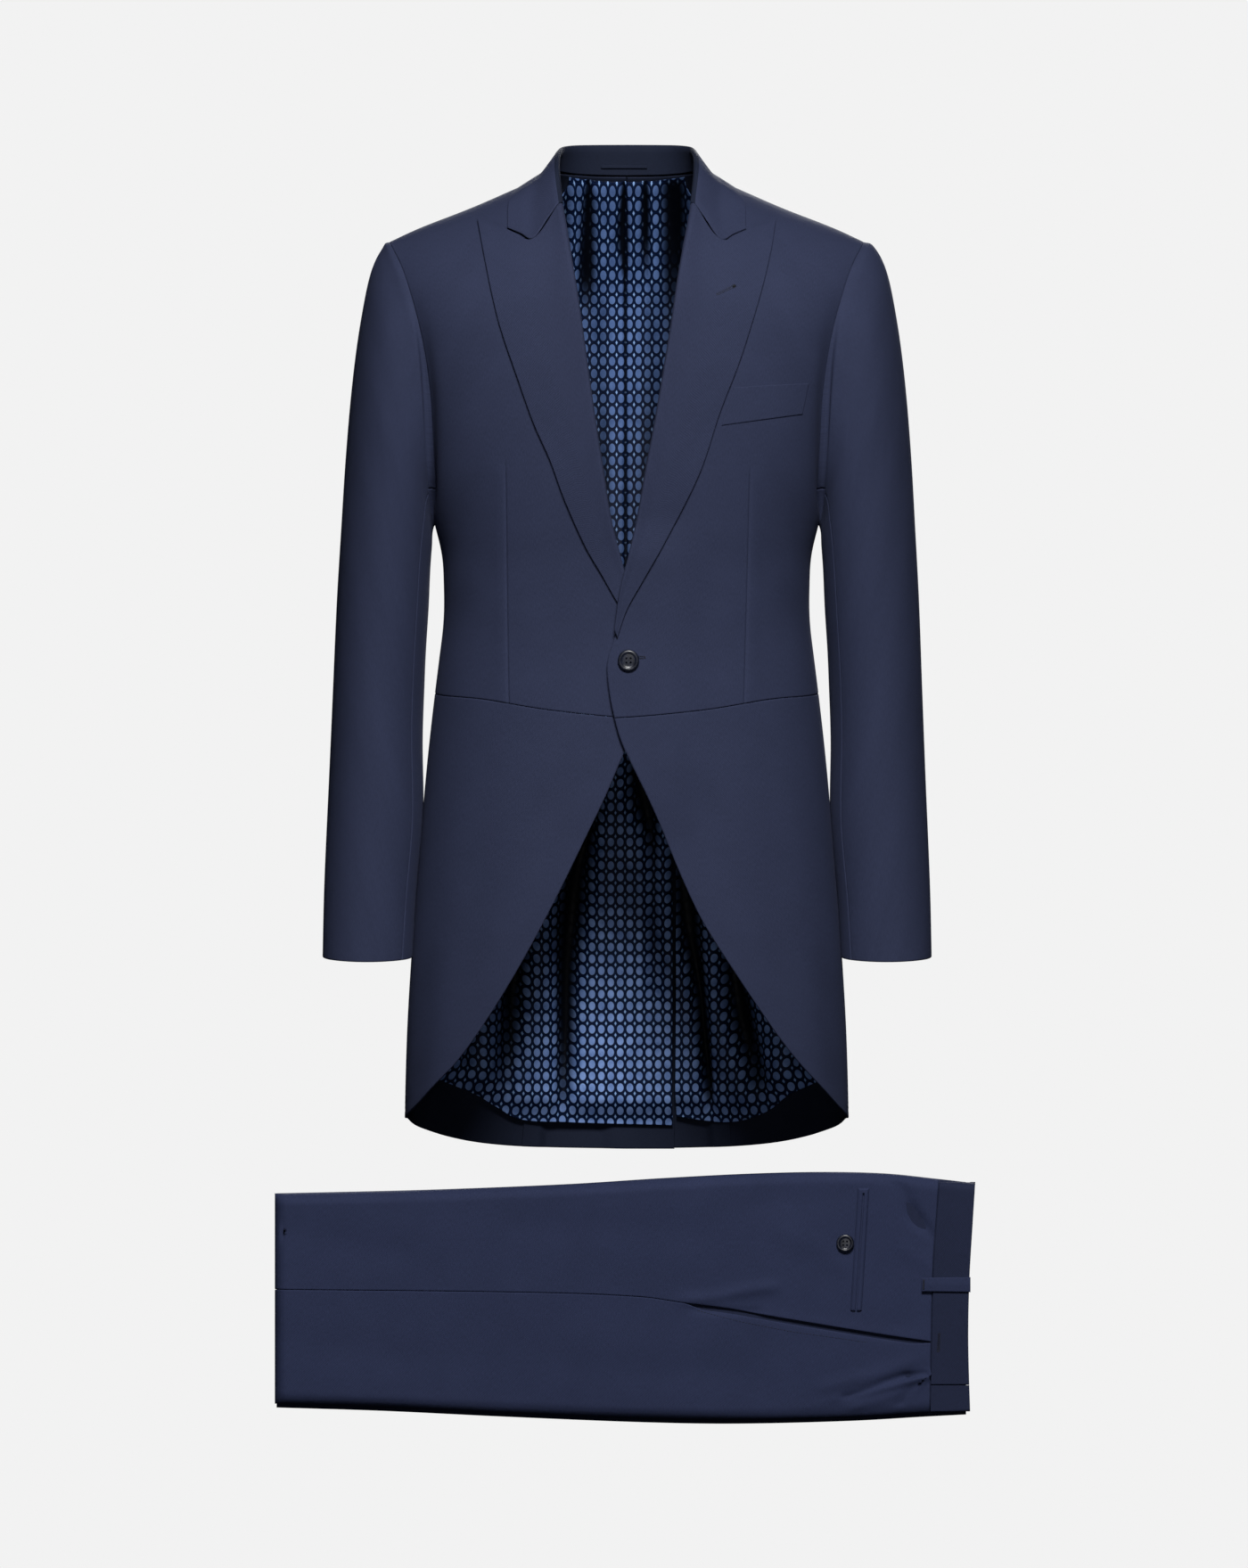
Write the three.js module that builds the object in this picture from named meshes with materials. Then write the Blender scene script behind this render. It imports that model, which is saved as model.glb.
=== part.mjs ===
// A morning suit: a one-button cutaway coat, filled out and hollow, above its folded trousers.
// Millimetres, Z up, the front faces -Y. The origin is at the middle of the neck, level with the
// collar seam at the nape and in the plane of the shoulder seams. Left and right are the wearer's:
// the wearer's left side is at +X, on the right of a view from the front.
import * as THREE from "three";
import { mergeVertices } from "three/addons/utils/BufferGeometryUtils.js";

// Cloth and seams
const clothThickness = 2.0;
const lapelThickness = 1.8;
const liningThickness = 1.0;
const seamGap = 0.3;
const halfGap = seamGap / 2;
const centreGap = 0.2;

// The coat's main heights
const underarmZ = -326;
const shoulderTipZ = -62;
const hemFrontZ = -876.5;
const trueBackHemZ = -906;

// Sections of the torso are rounded rectangles of this power, 2 being an ellipse
const sectionPower = 2.3;

// The body: half width at the sides, depth to the front and to the back of the side plane
const torso = [
  { z: 45, half: 242, front: 96, back: 90 },
  { z: 0, half: 240, front: 101, back: 93 },
  { z: -62, half: 236, front: 110, back: 104 },
  { z: -120, half: 226, front: 122, back: 116 },
  { z: -200, half: 209, front: 129, back: 120 },
  { z: -270, half: 193, front: 127, back: 116 },
  { z: -326, half: 178.5, front: 121, back: 110 },
  { z: -356, half: 171.5, front: 117, back: 106 },
  { z: -385, half: 169, front: 114, back: 103 },
  { z: -416, half: 170, front: 112.5, back: 102 },
  { z: -449, half: 173.5, front: 113, back: 102.5 },
  { z: -490, half: 178.5, front: 114.5, back: 105 },
  { z: -540, half: 184, front: 117, back: 109 },
  { z: -589, half: 188.5, front: 119, back: 112.5 },
  { z: -660, half: 194.5, front: 121.5, back: 117 },
  { z: -731, half: 199.5, front: 123, back: 120 },
  { z: -805, half: 204, front: 124, back: 123 },
  { z: -920, half: 207, front: 125, back: 126 },
];

// The ridge of the shoulders in the front view, and how far below it the cloth turns down
const shoulderRidge = [
  { x: 0, z: 41, turn: 160 },
  { x: 30, z: 36, turn: 160 },
  { x: 50, z: 23, turn: 157 },
  { x: 70, z: 3, turn: 152 },
  { x: 105, z: -13, turn: 142 },
  { x: 145, z: -31, turn: 122 },
  { x: 193, z: -50, turn: 97 },
  { x: 221, z: -62, turn: 85 },
  { x: 245, z: -74, turn: 80 },
];

// The armhole seam in the front view, on the chest and on the back
const armhole = [
  { z: -62, chest: 221, blade: 221 },
  { z: -88, chest: 208.5, blade: 209 },
  { z: -126, chest: 197.5, blade: 198.5 },
  { z: -162, chest: 191, blade: 191.5 },
  { z: -205, chest: 187, blade: 186 },
  { z: -250, chest: 185, blade: 183 },
  { z: -290, chest: 183.2, blade: 182 },
  { z: -310, chest: 181.6, blade: 181 },
  { z: -326, chest: 178.5, blade: 178.5 },
];

// The waist seam, by the angle round the body from centre front
const waistSeam = [
  { angle: -10, z: -507 },
  { angle: 0, z: -505 },
  { angle: 20, z: -498 },
  { angle: 45, z: -488 },
  { angle: 70, z: -484.5 },
  { angle: 90, z: -482 },
  { angle: 120, z: -478 },
  { angle: 170, z: -473 },
];

// The hem from the side to centre back
const hem = [
  { angle: 0, z: hemFrontZ },
  { angle: 90, z: hemFrontZ },
  { angle: 115, z: -885 },
  { angle: 128, z: -892 },
  { angle: 142, z: -900 },
  { angle: 154, z: -904 },
  { angle: 180, z: trueBackHemZ },
];

// Each lapel: its roll line and its outer edge, measured towards its own side of centre
const lapelRows = {
  left: [
    { z: -27, roll: 58.5, edge: 138, edgeZ: -44 },
    { z: -46, roll: 55.5, edge: 133.2, edgeZ: -74 },
    { z: -70, roll: 51.2, edge: 125, edgeZ: -108 },
    { z: -100, roll: 46.2, edge: 114.5, edgeZ: -143 },
    { z: -140, roll: 40.5, edge: 102.6, edgeZ: -179 },
    { z: -186, roll: 33, edge: 86, edgeZ: -222 },
    { z: -230, roll: 25.5, edge: 70, edgeZ: -271 },
    { z: -275, roll: 17, edge: 52, edgeZ: -310 },
    { z: -318, roll: 9.5, edge: 33.5, edgeZ: -344 },
    { z: -355, roll: 1, edge: 14.5, edgeZ: -378 },
    { z: -385, roll: -6.4, edge: 0, edgeZ: -405 },
    { z: -422, roll: -11.5, edge: -8.5, edgeZ: -431 },
  ],
  right: [
    { z: -27, roll: 58.5, edge: 138, edgeZ: -43 },
    { z: -50, roll: 54.6, edge: 131, edgeZ: -81 },
    { z: -80, roll: 50, edge: 124, edgeZ: -114.5 },
    { z: -112, roll: 44.8, edge: 116, edgeZ: -145 },
    { z: -150, roll: 39.5, edge: 102, edgeZ: -186 },
    { z: -190, roll: 34, edge: 86, edgeZ: -231 },
    { z: -232, roll: 28, edge: 71, edgeZ: -265 },
    { z: -275, roll: 21.2, edge: 57.5, edgeZ: -302 },
    { z: -318, roll: 14.5, edge: 39, edgeZ: -344 },
    { z: -349, roll: 7, edge: 22.6, edgeZ: -373 },
    { z: -375, roll: 0, edge: 9, edgeZ: -397 },
    { z: -402, roll: -7.5, edge: -3, edgeZ: -414 },
  ],
};

// The gorge: the lapel's top edge from the roll line to the peak, as steps from a straight line
const gorgeDip = [
  { share: 0, dip: -1.1 },
  { share: 0.35, dip: -29.9 },
  { share: 0.66, dip: -15.3 },
  { share: 1, dip: 0 },
];

// The front edge below the roll line, down the waist and round the cutaway to the hem
const frontEdge = {
  left: [
    { z: -422, x: -7.9 },
    { z: -436, x: -13 },
    { z: -454, x: -18 },
    { z: -482, x: -16 },
    { z: -505, x: -11.5 },
    { z: -525, x: -6 },
    { z: -540, x: 0.3 },
    { z: -578, x: 18.8 },
    { z: -606, x: 31.5 },
    { z: -640, x: 45.5 },
    { z: -675, x: 61 },
    { z: -700, x: 74 },
    { z: -745, x: 103 },
    { z: -793, x: 136 },
    { z: -829, x: 164 },
    { z: -857, x: 189 },
    { z: -876.5, x: 206 },
  ],
  right: [
    { z: -402, x: -3.9 },
    { z: -420, x: -9 },
    { z: -440, x: -13 },
    { z: -482, x: -14 },
    { z: -505, x: -11 },
    { z: -525, x: -4 },
    { z: -540, x: 3.5 },
    { z: -578.5, x: 20 },
    { z: -618, x: 39 },
    { z: -675, x: 67 },
    { z: -729, x: 96 },
    { z: -777, x: 125 },
    { z: -824, x: 158.5 },
    { z: -850, x: 182 },
    { z: -876.5, x: 206 },
  ],
};

// The seam between side body and back, which turns into the pleat of the tail below the waist
const backSeam = [
  { z: -232, x: 183.5 },
  { z: -262, x: 158 },
  { z: -300, x: 124 },
  { z: -350, x: 87 },
  { z: -400, x: 62 },
  { z: -450, x: 49 },
  { z: -475, x: 46 },
  { z: -560, x: 56 },
  { z: -640, x: 65 },
  { z: -920, x: 88 },
];

// Rings of a sleeve from the armhole to the cuff: outer and inner points in the front view
const sleeveRings = [
  { outX: 221, outZ: -62, inX: 178.5, inZ: -326, depth: 68, shift: 0 },
  { outX: 229, outZ: -63.5, inX: 179.6, inZ: -329, depth: 69, shift: 0 },
  { outX: 237.5, outZ: -78, inX: 180.4, inZ: -333, depth: 70, shift: 0 },
  { outX: 244.5, outZ: -97, inX: 181.2, inZ: -338, depth: 71, shift: 0 },
  { outX: 250.5, outZ: -126, inX: 182, inZ: -345, depth: 71, shift: 0 },
  { outX: 256, outZ: -163, inX: 183.2, inZ: -354, depth: 71, shift: 0 },
  { outX: 260.5, outZ: -207, inX: 184.8, inZ: -368, depth: 70, shift: 1 },
  { outX: 264.5, outZ: -262, inX: 186.6, inZ: -390, depth: 69, shift: 2 },
  { outX: 268.2, outZ: -326, inX: 188.8, inZ: -425, depth: 67, shift: 3 },
  { outX: 272.6, outZ: -400, inX: 191, inZ: -470, depth: 64, shift: 4 },
  { outX: 275.8, outZ: -480, inX: 193, inZ: -525, depth: 61, shift: 3 },
  { outX: 279, outZ: -580, inX: 196, inZ: -600, depth: 57, shift: -4 },
  { outX: 282, outZ: -665, inX: 199.5, inZ: -672, depth: 53, shift: -13 },
  { outX: 284.5, outZ: -727.5, inX: 202.3, inZ: -727.5, depth: 49, shift: -22 },
];
const sleeveHeadRings = 6;
const frontSleeveSeam = 140;
const backSleeveSeam = 228;
const sleeveSeamTurn = 0.2;
const armholeGap = 0.5;
const cuffBow = 4.5;

// The overlap of the fronts: the left front is lifted over the right one
const overlapLift = 6;

// The rolled fold of lapel and collar
const rollSetback = 4.6;
const foldUnder = -1.9;
const rollHeight = 6.4;
const lapelEdgeHeight = 3.6;
const collarEdgeHeight = 4.4;

// Sections of the collar from centre back to the gorge: neck seam, fold and leaf edge
const collarRows = [
  { neckX: 0, neckY: 59.6, neckZ: 0.7, foldX: 0, foldY: 57, foldZ: 29.5, leafX: 0, leafZ: -14 },
  { neckX: 29, neckY: 54.6, neckZ: 1.2, foldX: 28, foldY: 52.5, foldZ: 29.3, leafX: 33, leafZ: -13 },
  { neckX: 48, neckY: 44, neckZ: 2.2, foldX: 47, foldY: 41, foldZ: 28.7, leafX: 60, leafZ: -11 },
  { neckX: 60.5, neckY: 25, neckZ: 3.7, foldX: 58.5, foldY: 22, foldZ: 27, leafX: 82, leafZ: -7 },
  { neckX: 66.6, neckY: 0, neckZ: 4.2, foldX: 63.2, foldY: 0, foldZ: 24, leafX: 97, leafZ: -8.7 },
  { neckX: 64.6, neckY: -21, neckZ: 1.6, foldX: 63.6, foldY: -21, foldZ: 17.5, leafX: 105, leafZ: -17 },
  { neckX: 62, neckY: -41, neckZ: -8, foldX: 61.8, foldY: -44, foldZ: 3, leafX: 109.5, leafZ: -29 },
];
const collarEnd = { roll: 58.5, rollZ: -26.6, kneeX: 86.2, kneeZ: -61.4, leafX: 110, leafZ: -51 };
const collarFoldWidth = 5.4;
const collarCrest = 1.5;

// Folds of the lining, by where they lie across the back
const liningFoldsUpper = [
  { top: -37, bottom: -30, depth: 5, width: 7 },
  { top: -4, bottom: -2, depth: 6, width: 5 },
  { top: 21, bottom: 16, depth: 4.5, width: 6 },
  { top: 50, bottom: 40, depth: 6, width: 9 },
  { top: -62, bottom: -70, depth: 3.5, width: 8 },
  { top: 85, bottom: 80, depth: 3.5, width: 12 },
  { top: -100, bottom: -95, depth: 3.5, width: 12 },
];
const liningFoldsTail = [
  { top: -30, bottom: -54, depth: 7, width: 10 },
  { top: -92, bottom: -112, depth: 6, width: 12 },
  { top: 22, bottom: 30, depth: 5, width: 9 },
  { top: 60, bottom: 79, depth: 5, width: 7 },
  { top: 104, bottom: 119, depth: 5, width: 12 },
  { top: -140, bottom: -158, depth: 4, width: 14 },
  { top: 146, bottom: 164, depth: 4, width: 14 },
];
const liningUpperSet = 4.2;
const liningTailSet = { left: 7.8, right: 9.5 };
const liningHem = {
  left: [
    { x: 46, z: -876.5 },
    { x: 88, z: -882 },
    { x: 112, z: -880 },
    { x: 136, z: -871 },
    { x: 157, z: -856 },
    { x: 200, z: -838 },
  ],
  right: [
    { x: -44, z: -885 },
    { x: 63, z: -882 },
    { x: 104, z: -879 },
    { x: 125, z: -868 },
    { x: 146, z: -856 },
    { x: 200, z: -836 },
  ],
};
// The lap of the vent: how far the right tail passes centre, under the left one
const ventLap = [
  { z: -486, x: 0.5 },
  { z: -512, x: 27 },
  { z: -570, x: 36 },
  { z: -640, x: 45 },
  { z: -920, x: 45 },
];
const ventStep = 4.6;
const pleatStepBack = 4.2;

// The trousers, folded across at the knee with the waist to the right
const trouserTop = [
  { x: -331, z: -947.5 },
  { x: -183, z: -944 },
  { x: -58, z: -939 },
  { x: 38, z: -933 },
  { x: 117, z: -929 },
  { x: 186, z: -927.5 },
  { x: 242, z: -929 },
  { x: 290, z: -934 },
  { x: 325, z: -938 },
];
const trouserBottom = [
  { x: -331, z: -1146 },
  { x: -229, z: -1149 },
  { x: -115, z: -1154.5 },
  { x: 14, z: -1160 },
  { x: 100, z: -1161 },
  { x: 208, z: -1158.5 },
  { x: 282, z: -1155 },
  { x: 325, z: -1152 },
];
const outseam = [
  { x: -331, z: -1037 },
  { x: -81, z: -1040 },
  { x: 14, z: -1044 },
  { x: 56, z: -1050 },
  { x: 95, z: -1055 },
  { x: 140, z: -1063 },
  { x: 231, z: -1078 },
  { x: 291, z: -1087 },
];
const waistbandSeam = [
  { z: -930, x: 291 },
  { z: -972, x: 288 },
  { z: -1006, x: 285.5 },
  { z: -1052, x: 284 },
  { z: -1160, x: 282 },
];
const waistbandTop = [
  { z: -930, x: 325 },
  { z: -977, x: 322 },
  { z: -1029, x: 319 },
  { z: -1086, x: 318 },
  { z: -1160, x: 320 },
];
// How far the folded trousers stand forward of the plane through their edge
const trouserHeight = [
  { x: -331, y: 15 },
  { x: 60, y: 15 },
  { x: 150, y: 12.5 },
  { x: 240, y: 10.5 },
  { x: 325, y: 9.5 },
];
const trouserBackY = 14;
const trouserRound = 12;
const trouserPanel = 1.6;
const lowerLayerShows = 3.6;
const lowerEdgeHeight = 0.36;
const foldLeftX = -328;

const radians = Math.PI / 180;
const mix = (from, to, share) => from + (to - from) * share;

function smooth(from, to, value) {
  const share = Math.min(1, Math.max(0, (value - from) / (to - from)));
  return share * share * (3 - 2 * share);
}

// A smooth curve through one column of a table, read at a value of its first column
function read(rows, place, column, at) {
  const rising = rows[rows.length - 1][place] > rows[0][place];
  const sign = rising ? 1 : -1;
  let low = 0;
  while (low < rows.length - 2 && sign * rows[low + 1][place] < sign * at) low += 1;
  const slope = (index) => {
    const before = rows[Math.max(0, index - 1)];
    const after = rows[Math.min(rows.length - 1, index + 1)];
    return (after[column] - before[column]) / (after[place] - before[place]);
  };
  const start = rows[low];
  const end = rows[low + 1];
  const span = end[place] - start[place];
  const t = Math.min(1, Math.max(0, (at - start[place]) / span));
  const startWeight = (1 + 2 * t) * (1 - t) * (1 - t);
  const startSlope = t * (1 - t) * (1 - t) * span * slope(low);
  const endSlope = t * t * (t - 1) * span * slope(low + 1);
  return startWeight * start[column] + startSlope + (1 - startWeight) * end[column] + endSlope;
}

// A point on the body's surface at an angle from centre front, and the angle of an x
function angleOf(x, z, back = false) {
  const share = Math.min(1, Math.abs(x) / read(torso, "z", "half", z));
  const angle = Math.asin(share ** (sectionPower / 2)) / radians;
  return (x < 0 ? -1 : 1) * (back ? 180 - angle : angle);
}

function bodyPoint(angle, z) {
  const sine = Math.sin(angle * radians);
  const cosine = Math.cos(angle * radians);
  const x = read(torso, "z", "half", z) * Math.sign(sine) * Math.abs(sine) ** (2 / sectionPower);
  const depth = cosine > 0 ? -read(torso, "z", "front", z) : read(torso, "z", "back", z);
  const ridge = read(shoulderRidge, "x", "z", Math.abs(x));
  const turn = read(shoulderRidge, "x", "turn", Math.abs(x));
  const drop = Math.min(1, Math.max(0, (ridge - z) / turn));
  const rounded = Math.sqrt(1 - (1 - drop) ** 2);
  const y = depth * Math.abs(cosine) ** (2 / sectionPower) * rounded;
  return new THREE.Vector3(x, y + Math.sign(depth) * halfGap * (1 - rounded), z);
}

// The same point lifted off the surface, or set in below it
function lifted(angle, z, lift) {
  const step = 0.5;
  const point = bodyPoint(angle, z);
  const along = bodyPoint(angle + step, z).sub(bodyPoint(angle - step, z));
  const down = bodyPoint(angle, z - step).sub(bodyPoint(angle, z + step));
  const normal = along.cross(down).normalize();
  if (normal.x * point.x + normal.y * point.y < 0) normal.negate();
  return point.addScaledVector(normal, lift);
}

// How far the left front is lifted where it laps over the right one
function overlap(side, x, z) {
  if (side === "right") return 0;
  const across = 1 - smooth(30, 85, x);
  const down = smooth(-316, -360, z) * (1 - smooth(-545, -640, z));
  return overlapLift * across * down;
}

const sideSign = { left: 1, right: -1 };

function steps(count) {
  return Array.from({ length: count + 1 }, (_, index) => index / count);
}

// A wall of cloth under a surface given by a formula. Its face is the surface, and its back is
// set in by the thickness along the surface's own normal.
function wall(pointAt, columns, rows, thickness, facing, probe = [0.5, 0.5]) {
  const step = 1e-3;
  const normalAt = (u, v) => {
    const along = pointAt(Math.min(1, u + step), v).sub(pointAt(Math.max(0, u - step), v));
    const down = pointAt(u, Math.min(1, v + step)).sub(pointAt(u, Math.max(0, v - step)));
    return along.cross(down).normalize();
  };
  const middle = pointAt(probe[0], probe[1]);
  const sign = normalAt(probe[0], probe[1]).dot(facing(middle)) < 0 ? -1 : 1;
  const positions = [];
  for (const layer of [0, 1]) {
    for (const v of rows) {
      for (const u of columns) {
        const depth = layer * (typeof thickness === "function" ? thickness(u, v) : thickness);
        const point = pointAt(u, v).addScaledVector(normalAt(u, v), -sign * depth);
        positions.push(point.x, point.y, point.z);
      }
    }
  }
  const width = columns.length;
  const layerSize = width * rows.length;
  const index = [];
  const quad = (a, b, c, d) => index.push(a, b, c, a, c, d);
  for (let i = 0; i < rows.length - 1; i += 1) {
    for (let j = 0; j < width - 1; j += 1) {
      const a = i * width + j;
      quad(a, a + width, a + width + 1, a + 1);
      quad(layerSize + a, layerSize + a + 1, layerSize + a + width + 1, layerSize + a + width);
    }
  }
  for (let j = 0; j < width - 1; j += 1) {
    const last = layerSize - width + j;
    quad(j, j + 1, layerSize + j + 1, layerSize + j);
    quad(last + 1, last, layerSize + last, layerSize + last + 1);
  }
  for (let i = 0; i < rows.length - 1; i += 1) {
    const first = i * width;
    const end = first + width - 1;
    quad(first + width, first, layerSize + first, layerSize + first + width);
    quad(end, end + width, layerSize + end + width, layerSize + end);
  }
  return closedSolid(positions, index);
}

// A geometry whose faces point out, whichever way its triangles were listed
function closedSolid(positions, index) {
  let volume = 0;
  const corner = (k) => new THREE.Vector3().fromArray(positions, index[k] * 3);
  for (let k = 0; k < index.length; k += 3) {
    volume += corner(k).dot(corner(k + 1).cross(corner(k + 2)));
  }
  if (volume < 0) index.reverse();
  const geometry = new THREE.BufferGeometry();
  geometry.setAttribute("position", new THREE.Float32BufferAttribute(positions, 3));
  geometry.setIndex(index);
  return mergeVertices(geometry, 1e-4);
}

const outwards = (point) => new THREE.Vector3(point.x, point.y, 0);
const forwards = () => new THREE.Vector3(0, -1, 0);

const wool = { color: 0x2f3552, roughness: 0.88, metalness: 0 };
const trouserWool = { color: 0x2a3050, roughness: 0.9, metalness: 0 };
const satin = { color: 0x35497c, roughness: 0.45, metalness: 0 };
const horn = { color: 0x14161f, roughness: 0.35, metalness: 0 };

const suit = new THREE.Group();

function add(name, geometry, finish) {
  const mesh = new THREE.Mesh(geometry, new THREE.MeshStandardMaterial(finish));
  mesh.name = name;
  suit.add(mesh);
}

// A point of a panel between its inner and outer edges and its top and bottom. Each depends on
// the other, so the height is found in a few passes.
const panelPasses = 7;
function panelPoint(side, u, v, zone) {
  let z = mix(zone.topZ(60, 60), zone.bottomZ(60), v);
  for (let pass = 0; pass < panelPasses; pass += 1) {
    const near = mix(zone.inner(z), zone.outer(z), u);
    z = mix(zone.topZ(bodyPoint(near, z).x, near), zone.bottomZ(near), v);
  }
  const angle = mix(zone.inner(z), zone.outer(z), u);
  const lift = zone.lift(bodyPoint(angle, z).x, z);
  const point = lift === 0 ? bodyPoint(angle, z) : lifted(angle, z, lift);
  point.x *= sideSign[side];
  return point;
}

// The front edge of a forepart: the neck, the roll line and then the free edge
const neckCorner = { x: 70, z: 3 };
function forepartEdge(side, z) {
  const free = frontEdge[side];
  const rollTop = lapelRows[side][0];
  if (z < free[0].z) return read(free, "z", "x", z);
  if (z < rollTop.z) return read(lapelRows[side], "z", "roll", z) + rollSetback;
  return mix(rollTop.roll + rollSetback, neckCorner.x, (z - rollTop.z) / (neckCorner.z - rollTop.z));
}

function armholeAngle(z, back) {
  const column = back ? "blade" : "chest";
  const height = Math.max(underarmZ, Math.min(shoulderTipZ, z));
  return angleOf(read(armhole, "z", column, height) - halfGap, z, back);
}

// The seam between forepart and side body leaves the underarm and runs back down to the waist
const sideSeamSlant = 0.045;
function sideSeam(z) {
  return 90 + sideSeamSlant * Math.max(0, underarmZ - z);
}

const frontColumns = [0, 0.05, 0.12, 0.21, 0.32, 0.44, 0.57, 0.7, 0.8, 0.9, 1];
const forepartRows = [
  0, 0.006, 0.025, 0.06, 0.11, 0.18, 0.27, 0.36, 0.45, 0.54, 0.63, 0.72, 0.8, 0.835, 0.865, 0.92, 1,
];
// Panels stop just short of the ridge of the shoulders, where the surface has no single normal
const ridgeClear = 0.02;
// Half the gap at a seam down the body, as an angle
const sideSeamTurn = 0.1;
const seamTurn = 0.12;

function forepart(side) {
  const zone = {
    inner: (z) => angleOf(forepartEdge(side, z), z),
    outer: (z) => (z > underarmZ ? Math.min(90, armholeAngle(z, false)) : sideSeam(z) - sideSeamTurn),
    topZ: (x) => read(shoulderRidge, "x", "z", Math.abs(x)) - ridgeClear,
    bottomZ: (angle) => read(waistSeam, "angle", "z", angle) + halfGap,
    lift: (x, z) => overlap(side, x, z),
  };
  const pointAt = (u, v) => panelPoint(side, u, v, zone);
  return wall(pointAt, frontColumns, forepartRows, clothThickness, outwards);
}

// Where the waist seam meets the side seam and the back seam
const waistSideZ = -481;
const waistBackZ = -473.2;

// Heights shared by the two panels that meet at the back seam
const seamLevels = steps(10).map((share) => mix(backSeam[0].z - seamGap, waistBackZ, share));

function backAngle(x, z) {
  return angleOf(x, z, true);
}

function backSeamAngle(z) {
  if (z > backSeam[0].z) return Math.max(armholeAngle(z, true), 90);
  return backAngle(read(backSeam, "z", "x", z), z);
}

const sideSeamAngleAtWaist = sideSeam(waistSideZ);
const sideBodyColumns = 5;

function sideBody(side) {
  const inner = (z) => sideSeam(z) + sideSeamTurn;
  const outer = (z) => backSeamAngle(Math.min(z, backSeam[0].z)) - seamTurn;
  const waistAngle = (u) => mix(inner(waistSideZ), outer(waistBackZ), u);
  const pointAt = (u, v) => {
    const topZ = mix(underarmZ, backSeam[0].z, u) - seamGap;
    const z = mix(topZ, read(waistSeam, "angle", "z", waistAngle(u)) + halfGap, v);
    const drawn = Math.max(90, armholeAngle(topZ, true)) - mix(inner(topZ), outer(topZ), u);
    const angle = mix(inner(z), outer(z), u) + drawn * (1 - v) ** 3 * (1 - u ** 12);
    const point = bodyPoint(angle, z);
    point.x *= sideSign[side];
    return point;
  };
  const rows = steps(seamLevels.length - 1);
  return wall(pointAt, steps(sideBodyColumns), rows, clothThickness, outwards);
}

// The back's neck edge, which rises a little towards the shoulders
function backNeckZ(x) {
  return neckCorner.z * Math.min(1, Math.abs(x) / neckCorner.x) ** 2;
}

// The back, from shoulder to hem in one piece. Below the waist its outer edge is tucked under
// the skirt's pleat, and the right tail passes under the left one at the vent.
const tuck = { under: 13, from: -486, full: -512, nearEdge: 2, farEdge: 12 };
const backTopLevels = [-62 - ridgeClear, -64, -71, -84, -103, -130, -162, -197];
const backTailLevels = [-486, -498, -512, -560, -630, -710, -790, -850];
const backColumns = [0, 0.04, 0.085, 0.13, 0.175, 0.225, 0.32, 0.44, 0.57, 0.7, 0.8, 0.88, 0.94, 1];

function backPanel(side) {
  const zone = {
    inner: (z) => {
      if (side === "left" || z > ventLap[0].z) return backAngle(centreGap, z);
      return 360 - backAngle(read(ventLap, "z", "x", z), z);
    },
    outer: (z) => {
      if (z > backSeam[0].z) return armholeAngle(z, true);
      const under = tuck.under * smooth(tuck.from, tuck.full, z);
      return backAngle(read(backSeam, "z", "x", z) + under, z) + seamTurn;
    },
    topZ: (x) => {
      if (Math.abs(x) < neckCorner.x) return backNeckZ(x);
      return read(shoulderRidge, "x", "z", Math.abs(x)) - ridgeClear;
    },
    bottomZ: (angle) => read(hem, "angle", "z", Math.min(180, angle)),
    lift: (x, z) => {
      const below = smooth(waistBackZ, tuck.from, z);
      const pleat = read(backSeam, "z", "x", Math.min(z, backSeam[0].z));
      const tucked = smooth(pleat - tuck.farEdge, pleat - tuck.nearEdge, x);
      const lapped = side === "right" ? smooth(26, 10, x) : 0;
      return -below * Math.max(pleatStepBack * tucked, ventStep * lapped);
    },
  };
  const outerHem = read(hem, "angle", "z", zone.outer(trueBackHemZ));
  const levels = [...backTopLevels, ...seamLevels, ...backTailLevels, outerHem];
  const rows = levels.map((z) => (z - levels[0]) / (outerHem - levels[0]));
  const pointAt = (u, v) => {
    const point = panelPoint("left", u, v, zone);
    point.x *= sideSign[side];
    return point;
  };
  return wall(pointAt, backColumns, rows, clothThickness, outwards, [0.5, 0.3]);
}

function skirt(side) {
  const zone = {
    inner: (z) => angleOf(forepartEdge(side, z), z),
    outer: (z) => backAngle(read(backSeam, "z", "x", z) + seamGap, z),
    topZ: (x, angle) => read(waistSeam, "angle", "z", angle) - halfGap,
    bottomZ: (angle) => read(hem, "angle", "z", Math.max(90, angle)),
    lift: (x, z) => overlap(side, x, z),
  };
  // Its columns meet those of the forepart and the side body along the waist seam
  const waistZ = read(waistSeam, "angle", "z", sideSeamAngleAtWaist);
  const share = (sideSeamAngleAtWaist - zone.inner(waistZ)) / (zone.outer(waistZ) - zone.inner(waistZ));
  const behind = steps(sideBodyColumns).slice(1).map((u) => mix(share, 1, u));
  const columns = [...frontColumns.map((u) => u * share), ...behind];
  return wall((u, v) => panelPoint(side, u, v, zone), columns, steps(9), clothThickness, outwards);
}

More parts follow.
